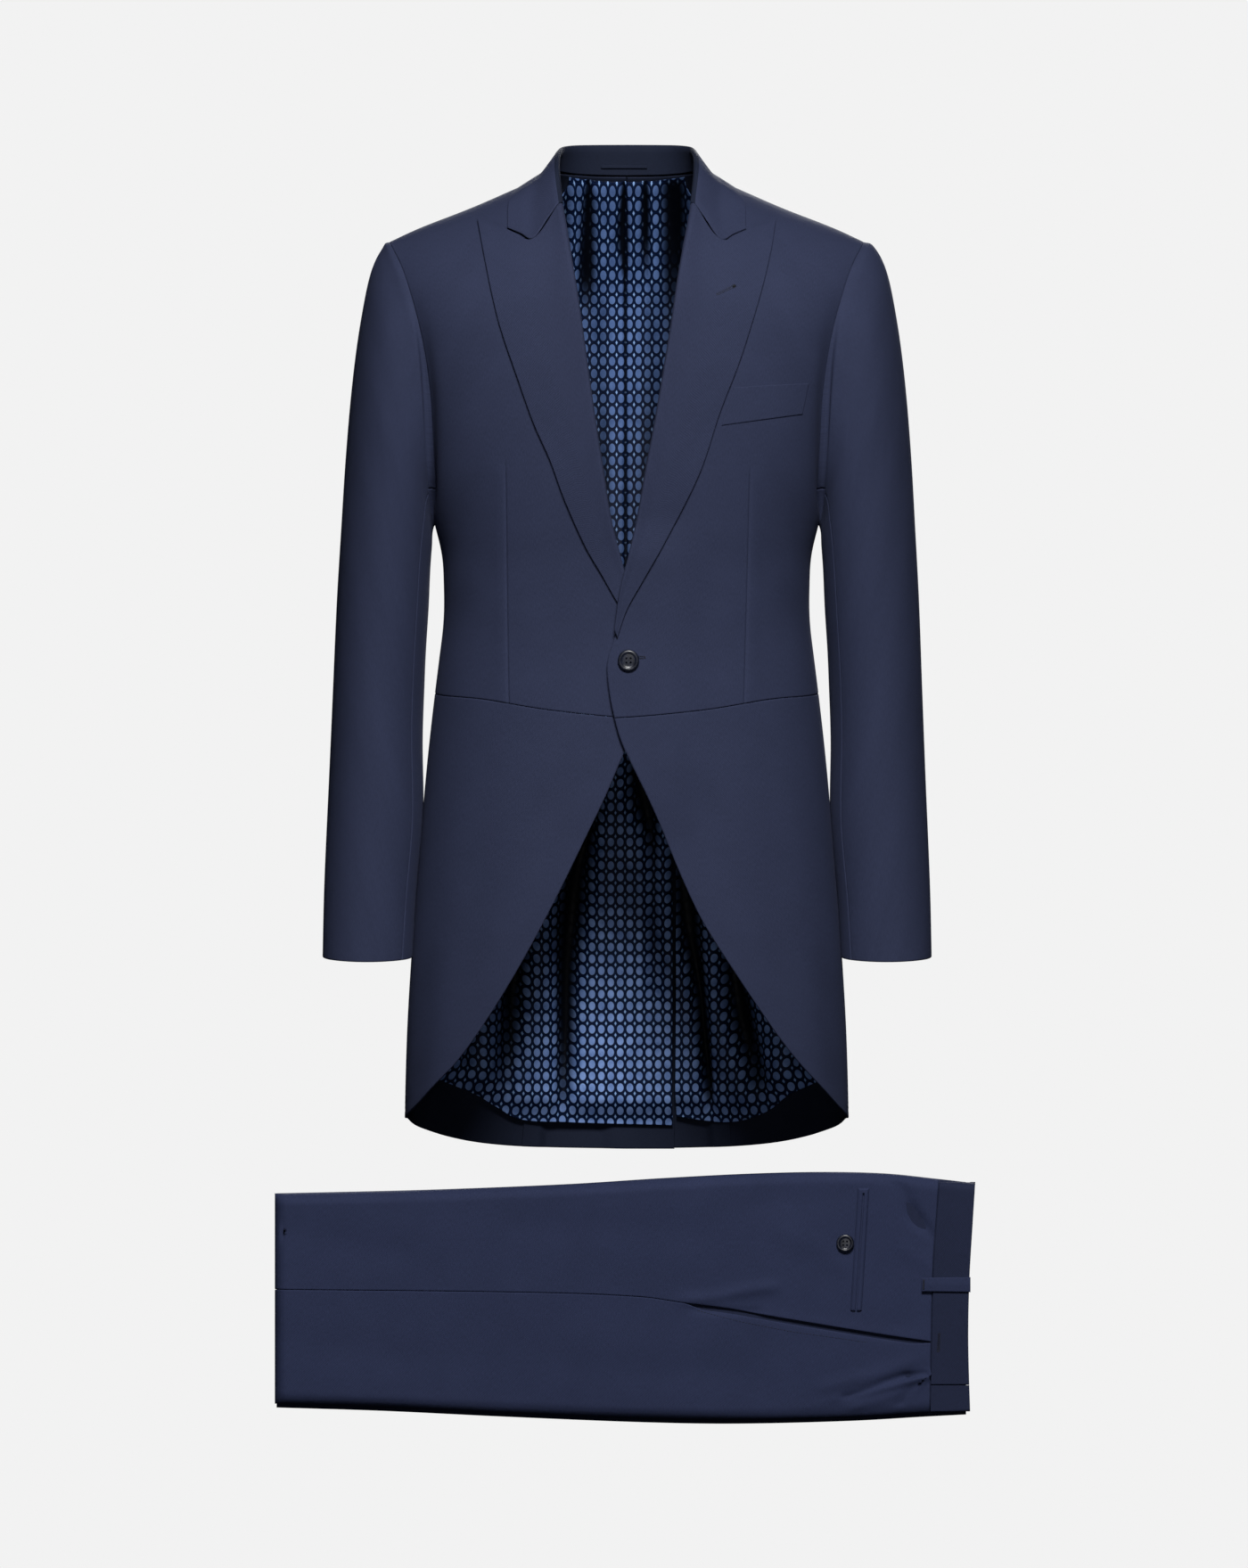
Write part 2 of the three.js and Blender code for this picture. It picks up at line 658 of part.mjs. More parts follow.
// A ring of a sleeve: a slanted ellipse, drawn onto the armhole at the top
const placedRings = sleeveRings.map((row, place) => ({ ...row, place }));
function sleeveEllipse(ring, turn) {
  const value = (column) => read(placedRings, "place", column, ring);
  const reach = Math.cos(turn * radians) / 2;
  const x = (value("outX") + value("inX")) / 2 + (value("outX") - value("inX")) * reach;
  const z = (value("outZ") + value("inZ")) / 2 + (value("outZ") - value("inZ")) * reach;
  const y = value("shift") - value("depth") * Math.sin(turn * radians);
  return new THREE.Vector3(x, y, z);
}

function armholePoint(turn) {
  const front = Math.sin(turn * radians) > 0;
  const z = (shoulderTipZ + underarmZ) / 2 + (Math.cos(turn * radians) * (shoulderTipZ - underarmZ)) / 2;
  const x = read(armhole, "z", front ? "chest" : "blade", z);
  const point = bodyPoint(angleOf(x, z, !front), z);
  point.x = x + armholeGap;
  return point;
}

function sleevePoint(side, turn, v) {
  const ring = v * (sleeveRings.length - 1);
  const point = sleeveEllipse(ring, turn);
  const fade = Math.max(0, 1 - ring / sleeveHeadRings) ** 2;
  const drawn = armholePoint(turn).sub(sleeveEllipse(0, turn));
  point.addScaledVector(drawn, fade);
  point.z -= cuffBow * Math.abs(Math.sin(turn * radians)) * smooth(0.86, 1, v);
  point.x *= sideSign[side];
  return point;
}

const sleeveRows = [0, 0.06, 0.13, 0.21, 0.29, 0.38, 0.47, 0.57, 0.68, 0.79, 0.9, 1];
function sleevePanel(side, from, to, columns) {
  const axis = (point) => {
    const centre = sleevePoint(side, 0, 0.6).add(sleevePoint(side, 180, 0.6)).multiplyScalar(0.5);
    return point.clone().sub(centre);
  };
  const start = from + sleeveSeamTurn;
  const end = to - sleeveSeamTurn;
  const pointAt = (u, v) => sleevePoint(side, mix(start, end, u), v);
  return wall(pointAt, steps(columns), sleeveRows, clothThickness, axis, [0.5, 0.6]);
}

// The section of a lapel's roll: under side, fold and top, by the column's place across
const rollSection = [
  { column: 0, reach: 3.1, height: 0 },
  { column: 1, reach: 1.0, height: 0.12 },
  { column: 2, reach: 0, height: 0.5 },
  { column: 3, reach: 1.0, height: 0.88 },
  { column: 4, reach: 3.6, height: 1 },
];
const rollEnd = rollSection[rollSection.length - 1];
const lapelColumns = 10;
const lapelLevels = [0, 0.05, 0.11, 0.19, 0.28, 0.38, 0.49, 0.6, 0.7, 0.79, 0.87, 0.94, 1];

// Towards its lower end a lapel lies lower; the right one ends under the left front
const lapelEnds = {
  left: { top: 4.6, edge: lapelEdgeHeight, thickness: lapelThickness },
  right: { top: 3.3, edge: 3.2, thickness: 1.3 },
};
const narrowLapel = 16;
const gorgeShare = 0.2;
const placedLapels = {
  left: lapelRows.left.map((row, place) => ({ ...row, place })),
  right: lapelRows.right.map((row, place) => ({ ...row, place })),
};

function lapelPoint(side, u, v) {
  const rows = placedLapels[side];
  const place = v * (rows.length - 1);
  const roll = { x: read(rows, "place", "roll", place), z: read(rows, "place", "z", place) };
  const edge = { x: read(rows, "place", "edge", place), z: read(rows, "place", "edgeZ", place) };
  const length = Math.hypot(edge.x - roll.x, edge.z - roll.z);
  const narrow = Math.min(1, length / narrowLapel);
  const ending = smooth(0.68, 0.86, v);
  const top = mix(rollHeight, lapelEnds[side].top, ending);
  const outer = mix(lapelEdgeHeight, lapelEnds[side].edge, ending);
  const column = u * lapelColumns;
  let reach = (read(rollSection, "column", "reach", column) * narrow) / length;
  let height = mix(foldUnder, top, read(rollSection, "column", "height", column));
  if (column > rollEnd.column) {
    const share = (column - rollEnd.column) / (lapelColumns - rollEnd.column);
    reach = mix(reach, 1, share);
    height = mix(top, outer, smooth(0, 1, share) * 0.4 + share * 0.6);
  }
  const dip = read(gorgeDip, "share", "dip", reach) * Math.max(0, 1 - v / gorgeShare) ** 1.5;
  const x = mix(roll.x, edge.x, reach);
  const z = mix(roll.z, edge.z, reach) + dip;
  const point = lifted(angleOf(x, z), z, height + overlap(side, x, z));
  point.x *= sideSign[side];
  return point;
}

function lapel(side) {
  const thickness = (u, v) => mix(lapelThickness, lapelEnds[side].thickness, smooth(0.6, 0.85, v));
  const pointAt = (u, v) => lapelPoint(side, u, v);
  return wall(pointAt, steps(lapelColumns), lapelLevels, thickness, forwards, [0.8, 0.5]);
}

// The collar: a stand round the neck, folded over into the leaf that lies on the shoulders
function collarPoint(u, v) {
  const sign = v < 0.5 ? -1 : 1;
  const place = Math.abs(v * 2 - 1) * collarRows.length;
  const get = (column) => read(collarSections, "index", column, place);
  const at = (name) => new THREE.Vector3(get(name + "X"), get(name + "Y"), get(name + "Z"));
  const neck = at("neck");
  const fold = at("fold");
  const outside = at("turned");
  const knee = at("knee");
  const leaf = at("leaf");
  const path = [neck, neck.clone().lerp(fold, 0.5), neck.clone().lerp(fold, 0.88)];
  path.push(fold.clone().lerp(outside, 0.5).add(at("crest")));
  path.push(outside.clone().lerp(knee, 0.1), outside.clone().lerp(knee, 0.45), knee);
  path.push(knee.clone().lerp(leaf, 0.5), leaf);
  const spot = u * (path.length - 1);
  const low = Math.min(path.length - 2, Math.floor(spot));
  const point = path[low].clone().lerp(path[low + 1], spot - low);
  point.x *= sign;
  return point;
}

function collarSection(row, index) {
  const away = new THREE.Vector3(row.foldX, row.foldY, 0).normalize();
  const onRidge = row.foldY === 0;
  const angle = angleOf(row.leafX, row.leafZ, row.foldY > 0);
  const leaf = onRidge
    ? new THREE.Vector3(row.leafX, 0, row.leafZ + collarEdgeHeight)
    : lifted(angle, row.leafZ, collarEdgeHeight);
  const turned = new THREE.Vector3(row.foldX, row.foldY, row.foldZ - collarCrest);
  turned.addScaledVector(away, collarFoldWidth);
  const knee = turned.clone().lerp(leaf, 0.6);
  knee.addScaledVector(away, 1.2);
  const neck = new THREE.Vector3(row.neckX, row.neckY, row.neckZ);
  const fold = new THREE.Vector3(row.foldX, row.foldY, row.foldZ - collarCrest);
  const crest = new THREE.Vector3(0, 0, collarCrest);
  return sectionRow({ neck, fold, turned, crest, knee, leaf }, index);
}

// One row of a table of sections, with a column for each coordinate of each point
function sectionRow(points, index) {
  const row = { index };
  for (const [name, point] of Object.entries(points)) {
    row[name + "X"] = point.x;
    row[name + "Y"] = point.y;
    row[name + "Z"] = point.z;
  }
  return row;
}

function collarGorge() {
  const end = collarEnd;
  const on = (x, z, lift) => lifted(angleOf(x, z), z, lift);
  const neck = on(end.roll + 2.4, end.rollZ - 2.6, foldUnder);
  const fold = on(end.roll + 0.8, end.rollZ - 1, foldUnder + 0.6);
  const turned = on(end.roll + 1, end.rollZ - 1.3, rollHeight - 0.4);
  const crest = on(end.roll, end.rollZ, 2.2);
  crest.sub(fold.clone().lerp(turned, 0.5));
  const knee = on(end.kneeX, end.kneeZ, 4.9);
  const leaf = on(end.leafX, end.leafZ, collarEdgeHeight);
  return sectionRow({ neck, fold, turned, crest, knee, leaf }, collarRows.length);
}

const collarSections = [...collarRows.map((row, index) => collarSection(row, index)), collarGorge()];

function collar() {
  const away = (point) => new THREE.Vector3(point.x, point.y, 20);
  return wall(collarPoint, steps(8), steps(24), lapelThickness, away, [0.9, 0.5]);
}

// The breast pocket's welt, a slanted strip on the left forepart beside the lapel
const breastWelt = {
  top: [{ x: 99.5, z: -198 }, { x: 169, z: -194 }],
  bottom: [{ x: 88, z: -233.7 }, { x: 163, z: -223 }],
  lift: 2.1,
  thickness: 1.5,
};

// A place between four corners: two along the top and two along the bottom
function between(top, bottom, u, v) {
  const x = mix(mix(top[0].x, top[1].x, u), mix(bottom[0].x, bottom[1].x, u), v);
  const z = mix(mix(top[0].z, top[1].z, u), mix(bottom[0].z, bottom[1].z, u), v);
  return { x, z };
}

function pocketWelt() {
  const pointAt = (u, v) => {
    const { x, z } = between(breastWelt.top, breastWelt.bottom, u, v);
    return lifted(angleOf(x, z), z, breastWelt.lift);
  };
  return wall(pointAt, steps(8), steps(3), breastWelt.thickness, outwards);
}

// The folds of the lining, as a depth at a place across and down
function foldDepth(folds, x, share) {
  let depth = 0;
  for (const fold of folds) {
    const from = x - mix(fold.top, fold.bottom, share);
    depth += fold.depth * Math.exp(-((from / fold.width) ** 2));
  }
  return depth;
}

// The lining of the upper back, set in from the cloth, with the folds lying towards the cloth
const upperLining = { top: -1.8, bottom: -470, neckX: 56, widestX: 176, sideAngle: 112, least: 3.3 };
const liningEdge = 0.985;
const liningBillow = { upper: 4.5, upperFold: 6, tail: 5, tailFold: 7 };
const upperLiningRows = [0, 0.04, 0.11, 0.21, 0.33, 0.48, 0.64, 0.82, 1];

function liningUpper(side) {
  const sign = sideSign[side];
  const pointAt = (u, v) => {
    const top = backNeckZ(mix(0, neckCorner.x, u)) + upperLining.top;
    const z = mix(top, upperLining.bottom, v ** 1.25);
    const half = read(torso, "z", "half", z) * liningEdge;
    const widest = angleOf(Math.min(half, upperLining.widestX), z, true);
    const neckSide = angleOf(upperLining.neckX, z, true);
    const outer = mix(neckSide, Math.max(upperLining.sideAngle, widest), smooth(0, 0.3, v));
    const angle = mix(backAngle(seamGap, z), outer, u);
    const x = bodyPoint(angle, z).x * sign;
    const level = 1 - foldDepth(liningFoldsUpper, x, v) / liningBillow.upperFold;
    const inset = liningUpperSet + level * liningBillow.upper * smooth(0, 0.06, v);
    const point = lifted(angle, z, -Math.max(upperLining.least, inset));
    point.x *= sign;
    return point;
  };
  return wall(pointAt, steps(12), upperLiningRows, liningThickness, outwards);
}

// The lining of one tail, from the waist to just above the hem
const tailLining = { top: -473, bottom: -880, rightEdge: 1.2, leftEdge: 2, passes: 5 };
const tailLiningColumns = { left: 11, right: 14 };

function liningTail(side) {
  const sign = sideSign[side];
  const vent = (z) => {
    const lap = read(ventLap, "z", "x", z);
    if (side === "left") return backAngle(lap + tailLining.leftEdge, z);
    return 360 - backAngle(Math.max(0.4, lap - tailLining.rightEdge), z);
  };
  const pointAt = (u, v) => {
    let z = mix(tailLining.top, tailLining.bottom, v);
    let angle = 170;
    for (let pass = 0; pass < tailLining.passes; pass += 1) {
      const outer = backAngle(read(torso, "z", "half", z) * liningEdge, z);
      angle = mix(vent(z), outer, u);
      const across = bodyPoint(angle, z).x;
      z = mix(tailLining.top, read(liningHem[side], "x", "z", across), v);
    }
    const x = bodyPoint(angle, z).x * sign;
    const level = 1 - foldDepth(liningFoldsTail, x, v) / liningBillow.tailFold;
    const inset = liningTailSet[side] + Math.max(0, level * liningBillow.tail);
    const point = lifted(angle, z, -inset);
    point.x *= sign;
    return point;
  };
  return wall(pointAt, steps(tailLiningColumns[side]), steps(7), liningThickness, outwards);
}

// A rimmed button turned about its own axis, which points forwards
function button(diameter, sides) {
  const radius = diameter / 2;
  const profile = [
    [0, 0], [radius * 0.72, 0], [radius * 0.95, 0.9], [radius, 1.9], [radius * 0.9, 3.1],
    [radius * 0.74, 3.2], [radius * 0.62, 2.4], [0, 2.2],
  ];
  const points = profile.map(([across, up]) => new THREE.Vector2(across, up));
  const geometry = new THREE.LatheGeometry(points, sides);
  geometry.deleteAttribute("normal");
  geometry.deleteAttribute("uv");
  geometry.rotateX(Math.PI);
  return mergeVertices(geometry, 1e-4);
}

function addButton(name, diameter, sides, place) {
  const geometry = button(diameter, sides);
  geometry.translate(place.x, place.y, place.z);
  add(name, geometry, horn);
}

for (const side of ["left", "right"]) {
  add(`forepart_${side}`, forepart(side), wool);
  add(`side_body_${side}`, sideBody(side), wool);
  add(`back_${side}`, backPanel(side), wool);
  add(`skirt_${side}`, skirt(side), wool);
  add(`top_sleeve_${side}`, sleevePanel(side, backSleeveSeam - 360, frontSleeveSeam, 14), wool);
  add(`under_sleeve_${side}`, sleevePanel(side, frontSleeveSeam, backSleeveSeam, 6), wool);
  add(`lapel_${side}`, lapel(side), wool);
  add(`lining_upper_${side}`, liningUpper(side), satin);
  add(`lining_tail_${side}`, liningTail(side), satin);
}
add("collar", collar(), wool);
add("breast_pocket_welt", pocketWelt(), wool);

const buttonClear = 0.6;
const frontButton = { x: 1.7, z: -452, diameter: 20 };
const frontButtonLift = overlapLift + buttonClear;
const frontButtonBase = lifted(angleOf(frontButton.x, frontButton.z), frontButton.z, frontButtonLift);
addButton("front_button", frontButton.diameter, 24, frontButtonBase);

// The loop of tape inside the collar stand, by which the coat hangs
const hangerLoop = { from: -24, to: 19, low: 7.4, high: 10.6, thickness: 1, clear: 2 };
function loopPoint(u, v) {
  const x = mix(hangerLoop.from, hangerLoop.to, u);
  const stand = collarPoint(0.05, 0.5 + x / collarRows[1].neckX / (2 * collarRows.length));
  return new THREE.Vector3(x, stand.y - hangerLoop.clear, mix(hangerLoop.low, hangerLoop.high, v));
}
add("hanger_loop", wall(loopPoint, steps(6), steps(1), hangerLoop.thickness, forwards), wool);

// The trousers' front face: how far it stands forward at a place, rounded at the edges
function trouserEdge(distance) {
  const share = Math.min(1, Math.max(0, distance / trouserRound));
  return Math.sqrt(1 - (1 - share) ** 2);
}

const topEdge = (x) => read(trouserTop, "x", "z", x);
const bottomEdge = (x) => read(trouserBottom, "x", "z", x) + lowerLayerShows;

function trouserFace(x, z, topZ, bottomZ) {
  const height = read(trouserHeight, "x", "y", x);
  const upper = trouserEdge(topZ - z);
  const lower = mix(lowerEdgeHeight, 1, trouserEdge(z - bottomZ));
  const end = trouserEdge(x - foldLeftX);
  return -height * Math.min(upper, lower) * end;
}

// Two pleats of the front, which fade away from the waistband
const pleats = [
  { farX: 195, farZ: -1139, nearX: 279, nearZ: -1118, height: 2.6, width: 4.5, from: 150, full: 275 },
  { farX: 250, farZ: -1149, nearX: 278, nearZ: -1121, height: 2.2, width: 4, from: 245, full: 268 },
];
function pleatStep(x, z) {
  let step = 0;
  for (const row of pleats) {
    const crestZ = mix(row.farZ, row.nearZ, (x - row.farX) / (row.nearX - row.farX));
    const shown = smooth(row.from, row.full, x);
    step -= row.height * shown * Math.exp(-(((z - crestZ) / row.width) ** 2));
  }
  return step;
}

function trouserPanelPoint(u, v, upper, lower, step) {
  let x = mix(foldLeftX, waistbandSeam[0].x, u);
  let z = mix(upper(x), lower(x), v);
  for (let pass = 0; pass < 4; pass += 1) {
    x = mix(foldLeftX, read(waistbandSeam, "z", "x", z) - halfGap, u);
    z = mix(upper(x), lower(x), v);
  }
  const y = trouserFace(x, z, topEdge(x), bottomEdge(x)) + step(x, z);
  return new THREE.Vector3(x, y, z);
}

const trouserColumns = [
  0, 0.004, 0.013, 0.03, 0.1, 0.2, 0.32, 0.44, 0.56, 0.66, 0.74, 0.8, 0.86, 0.91, 0.955, 1,
];
const backRows = [0, 0.012, 0.045, 0.11, 0.3, 0.55, 0.78, 1];
const frontRows = [0, 0.2, 0.4, 0.58, 0.68, 0.75, 0.81, 0.86, 0.9, 0.95, 0.985, 1];

const aboveOutseam = (x) => read(outseam, "x", "z", x) + halfGap;
const belowOutseam = (x) => read(outseam, "x", "z", x) - halfGap;
const trouserBackPanel = (u, v) => trouserPanelPoint(u, v, topEdge, aboveOutseam, () => 0);
const trouserFrontPanel = (u, v) => trouserPanelPoint(u, v, belowOutseam, bottomEdge, pleatStep);
const backPanelWall = wall(trouserBackPanel, trouserColumns, backRows, trouserPanel, forwards);
const frontPanelWall = wall(trouserFrontPanel, trouserColumns, frontRows, trouserPanel, forwards);
add("trouser_back_right", backPanelWall, trouserWool);
add("trouser_front_right", frontPanelWall, trouserWool);

// The hidden layers: one rounded solid, flat behind, with the edges of its layers round it
const layerProfile = [
  { off: 2.9, y: -0.5 },
  { off: 0.9, y: 1.2 },
  { off: 0.2, y: 3.6 },
  { off: 1.0, y: 6 },
  { off: 2.8, y: 7.2 },
  { off: 1.0, y: 8.4 },
  { off: 0.6, y: 10.8 },
  { off: 2.4, y: 13.2 },
  { off: 5.5, y: trouserBackY },
];
const faceInsets = [3.2, 5, 8.5, 16];
const underPanel = { start: 2.9, clear: 1, least: 0.5 };
const foldStations = [
  { x: -326, full: 0.05 },
  { x: -324.2, full: 0.55 },
  { x: -320, full: 0.86 },
  { x: -314, full: 1 },
  { x: -250, full: 1 },
  { x: -150, full: 1 },
  { x: -50, full: 1 },
  { x: 40, full: 1 },
  { x: 110, full: 1 },
  { x: 180, full: 1 },
  { x: 240, full: 1 },
  { x: 285, full: 1 },
  { x: 316, full: 1 },
];

function foldedSection(x, full) {
  const top = topEdge(x);
  const bottom = read(trouserBottom, "x", "z", x);
  const height = read(trouserHeight, "x", "y", x) - trouserPanel - underPanel.clear;
  const rise = (off) => {
    const share = Math.min(1, (off - underPanel.start) / (trouserRound - underPanel.start));
    return Math.min(-underPanel.least, -height * Math.sqrt(1 - (1 - share) ** 2) * full);
  };
  const shallow = (y) => (y > 0 ? y : y * full);
  const section = [];
  for (const row of [...layerProfile].reverse()) section.push([top - row.off, shallow(row.y)]);
  for (const off of faceInsets) section.push([top - off, rise(off)]);
  for (const off of [...faceInsets].reverse()) section.push([bottom + lowerLayerShows + off, rise(off)]);
  for (const row of layerProfile) section.push([bottom + row.off, shallow(row.y)]);
  return section.map(([z, y]) => new THREE.Vector3(x, y, z));
}

function foldedLayers() {
  const sections = foldStations.map((row) => foldedSection(row.x, row.full));
  const count = sections[0].length;
  const positions = [];
  for (const section of sections) for (const point of section) positions.push(point.x, point.y, point.z);
  const index = [];
  for (let i = 0; i < sections.length - 1; i += 1) {
    for (let j = 0; j < count; j += 1) {
      const a = i * count + j;
      const b = i * count + ((j + 1) % count);
      index.push(a, a + count, b + count, a, b + count, b);
    }
  }
  for (const [start, flip] of [[0, false], [(sections.length - 1) * count, true]]) {
    for (let j = 0; j < count / 2 - 1; j += 1) {
      const a = start + j;
      const b = start + j + 1;
      const c = start + count - 2 - j;
      const d = start + count - 1 - j;
      if (flip) index.push(a, c, b, a, d, c);
      else index.push(a, b, c, a, c, d);
    }
  }
  return closedSolid(positions, index);
}
add("trouser_folded_layers", foldedLayers(), trouserWool);

// The waistband: the right half, and the end of the left half showing below it
function waistband(fromZ, toZ, lift) {
  return (u, v) => {
    const z = mix(fromZ, toZ, v);
    const seam = read(waistbandSeam, "z", "x", z) + halfGap + seamGap;
    const x = mix(seam, read(waistbandTop, "z", "x", z), u);
    const bottom = read(trouserBottom, "x", "z", x);
    const round = Math.min(trouserEdge((topEdge(x) - z) * 1.5), trouserEdge((z - bottom) * 2));
    const y = -(read(trouserHeight, "x", "y", x) + lift) * round;
    return new THREE.Vector3(x, y, z);
  };
}
const waistbandRightRows = [0, 0.01, 0.03, 0.07, 0.25, 0.5, 0.75, 1];
const waistbandCloth = 2.4;
const bandEnds = { topZ: -937, splitZ: -1126, bottomZ: -1151 };
const bandLift = { right: 1.2, left: 0.2 };
const bandRight = waistband(bandEnds.topZ, bandEnds.splitZ + halfGap, bandLift.right);
const bandLeft = waistband(bandEnds.splitZ - halfGap, bandEnds.bottomZ, bandLift.left);
const bandRightWall = wall(bandRight, steps(4), waistbandRightRows, waistbandCloth, forwards);
add("waistband_right", bandRightWall, trouserWool);
add("waistband_left_end", wall(bandLeft, steps(4), steps(5), trouserPanel, forwards), trouserWool);

// A point laid on the trousers' face, lifted off it
function laidOn(x, z, lift) {
  return new THREE.Vector3(x, trouserFace(x, z, topEdge(x), bottomEdge(x)) - lift, z);
}

// The belt loop, a strip across the waistband
const beltLoop = {
  top: [{ x: 274.5, z: -1026 }, { x: 320, z: -1025.5 }],
  bottom: [{ x: 274.5, z: -1039 }, { x: 320, z: -1039.6 }],
  lift: 3.3,
  thickness: 1.6,
};
function beltLoopPoint(u, v) {
  const { x, z } = between(beltLoop.top, beltLoop.bottom, u, v);
  return laidOn(x, z, beltLoop.lift);
}
add("belt_loop", wall(beltLoopPoint, steps(5), steps(2), beltLoop.thickness, forwards), trouserWool);

// The two welts of the hip pocket, cut in one and joined at their upper end, with the slit
// between them. The path runs up the inner welt, over the end and down the outer one.
const hipWelt = { topX: 220.5, topZ: -942.5, bottomX: 213.5, bottomZ: -1057, width: 5.2, slit: 0.6 };
const hipWeltCloth = { lift: 1.6, thickness: 1.2 };
const hipWeltPath = [
  { place: 0, side: -1, down: 1 },
  { place: 0.46, side: -1, down: 0 },
  { place: 0.54, side: 1, down: 0 },
  { place: 1, side: 1, down: 1 },
];
function hipWeltPoint(u, v) {
  const low = Math.min(2, hipWeltPath.findLastIndex((row) => row.place <= u));
  const from = hipWeltPath[low];
  const to = hipWeltPath[low + 1];
  const share = (u - from.place) / (to.place - from.place);
  const across = mix(from.side, to.side, share) * mix(hipWelt.slit / 2, hipWelt.slit / 2 + hipWelt.width, v);
  const endZ = mix(hipWelt.topZ - hipWelt.width, hipWelt.topZ, v);
  const down = mix(from.down, to.down, share);
  const x = mix(hipWelt.topX, hipWelt.bottomX, down) + across;
  return laidOn(x, mix(endZ, hipWelt.bottomZ, down), hipWeltCloth.lift);
}
const hipWeltColumns = [0, 0.115, 0.23, 0.345, 0.46, 0.54, 0.655, 0.77, 0.885, 1];
const hipWeltSlab = hipWeltCloth.thickness;
const hipWeltWall = wall(hipWeltPoint, hipWeltColumns, steps(2), hipWeltSlab, forwards, [0.2, 0.5]);
add("hip_pocket_welts", hipWeltWall, trouserWool);

const hipButton = { x: 203.4, z: -994, diameter: 16.5 };
addButton("hip_pocket_button", hipButton.diameter, 20, laidOn(hipButton.x, hipButton.z, buttonClear));

export default suit;
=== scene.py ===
import math

import bmesh
import bpy
import numpy as np
from mathutils import Matrix, Vector
from mathutils.bvhtree import BVHTree


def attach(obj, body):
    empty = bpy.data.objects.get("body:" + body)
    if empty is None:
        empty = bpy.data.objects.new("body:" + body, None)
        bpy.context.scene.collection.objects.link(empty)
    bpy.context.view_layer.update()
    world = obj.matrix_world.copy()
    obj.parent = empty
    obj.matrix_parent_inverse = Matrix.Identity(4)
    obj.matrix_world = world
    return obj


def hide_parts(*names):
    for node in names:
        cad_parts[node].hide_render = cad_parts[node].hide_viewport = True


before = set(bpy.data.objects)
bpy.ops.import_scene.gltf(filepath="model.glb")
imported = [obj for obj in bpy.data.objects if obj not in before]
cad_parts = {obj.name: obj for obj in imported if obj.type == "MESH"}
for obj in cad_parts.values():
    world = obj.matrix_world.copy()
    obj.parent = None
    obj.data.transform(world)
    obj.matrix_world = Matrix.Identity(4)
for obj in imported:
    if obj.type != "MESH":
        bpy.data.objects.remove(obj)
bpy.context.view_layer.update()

METRE = 0.001


# Tables: each has named columns, and a smooth curve runs through a column
def table(names, *rows):
    return {name: np.array([row[i] for row in rows], float) for i, name in enumerate(names.split())}


def read(rows, place, column, at):
    keys, values = rows[place], rows[column]
    if keys[-1] < keys[0]:
        keys, values = keys[::-1], values[::-1]
    number = np.arange(len(keys))
    before = np.maximum(number - 1, 0)
    after = np.minimum(number + 1, len(keys) - 1)
    slopes = (values[after] - values[before]) / (keys[after] - keys[before])
    at = np.asarray(at, float)
    low = np.clip(np.searchsorted(keys, at) - 1, 0, len(keys) - 2)
    span = keys[low + 1] - keys[low]
    t = np.clip((at - keys[low]) / span, 0, 1)
    weight = (1 + 2 * t) * (1 - t) ** 2
    bend = t * (1 - t) ** 2 * slopes[low] + t * t * (t - 1) * slopes[low + 1]
    return weight * values[low] + (1 - weight) * values[low + 1] + span * bend


def mix(start, end, share):
    return start + (end - start) * share


def smooth(start, end, value):
    share = np.clip((value - start) / (end - start), 0, 1)
    return share * share * (3 - 2 * share)


def bump(distance, width):
    return np.exp(-((distance / width) ** 2))


# Thickness of each cloth, and the gaps at seams: half a gap on each side, or in degrees round the body
CLOTH = 2.0
LAPEL_CLOTH = 1.8
LINING = 1.0
TROUSER_CLOTH = 1.6
SEAM_GAP = 0.3
HALF_GAP = 0.15
CENTRE_GAP = 0.2
SIDE_SEAM_TURN = 0.1
SEAM_TURN = 0.12
RIDGE_HALF_GAP = -0.06
UNDERARM_Z = -326
SHOULDER_TIP_Z = -62
WAIST_BACK_Z = -473.2
SECTION_POWER = 2.3

# The body: half width at the sides, depth to the front and to the back of the side plane
torso = table(
    "z half front back",
    (45, 242, 96, 90), (0, 240, 101, 93), (-62, 236, 110, 104), (-120, 226, 122, 116),
    (-200, 209, 129, 120), (-270, 193, 127, 116), (-326, 178.5, 121, 110), (-356, 171.5, 117, 106),
    (-385, 170, 114, 103), (-416, 171, 112.5, 102), (-449, 174.5, 113, 102.5), (-490, 179.5, 114.5, 105),
    (-540, 185.2, 117, 109), (-589, 190, 119, 112.5), (-660, 196, 121.5, 117), (-731, 201, 123, 120),
    (-805, 204.8, 124, 123), (-920, 207.4, 125, 126),
)
# The ridge of the shoulders, and how far below it the cloth turns down
shoulder_ridge = table(
    "x z turn",
    (0, 41, 160), (30, 36, 160), (50, 23, 157), (70, 3, 152), (105, -12.8, 142), (145, -30.2, 122),
    (193, -49, 97), (221, -62, 85), (245, -74, 80),
)
armhole = table(
    "z chest blade",
    (-62, 221, 221), (-88, 208.5, 209), (-126, 197.5, 198.5), (-162, 191, 191.5), (-205, 187, 186),
    (-250, 185, 183), (-290, 183.2, 182), (-310, 181.6, 181), (-326, 178.5, 178.5),
)
waist_seam = table(
    "angle z",
    (-10, -507), (0, -505), (20, -498), (45, -488), (70, -484.5), (90, -482), (120, -478), (170, -473),
)
hem = table(
    "angle z",
    (0, -876.5), (90, -877.5), (102, -882), (115, -888), (128, -895), (142, -901.5), (156, -905), (180, -907),
)
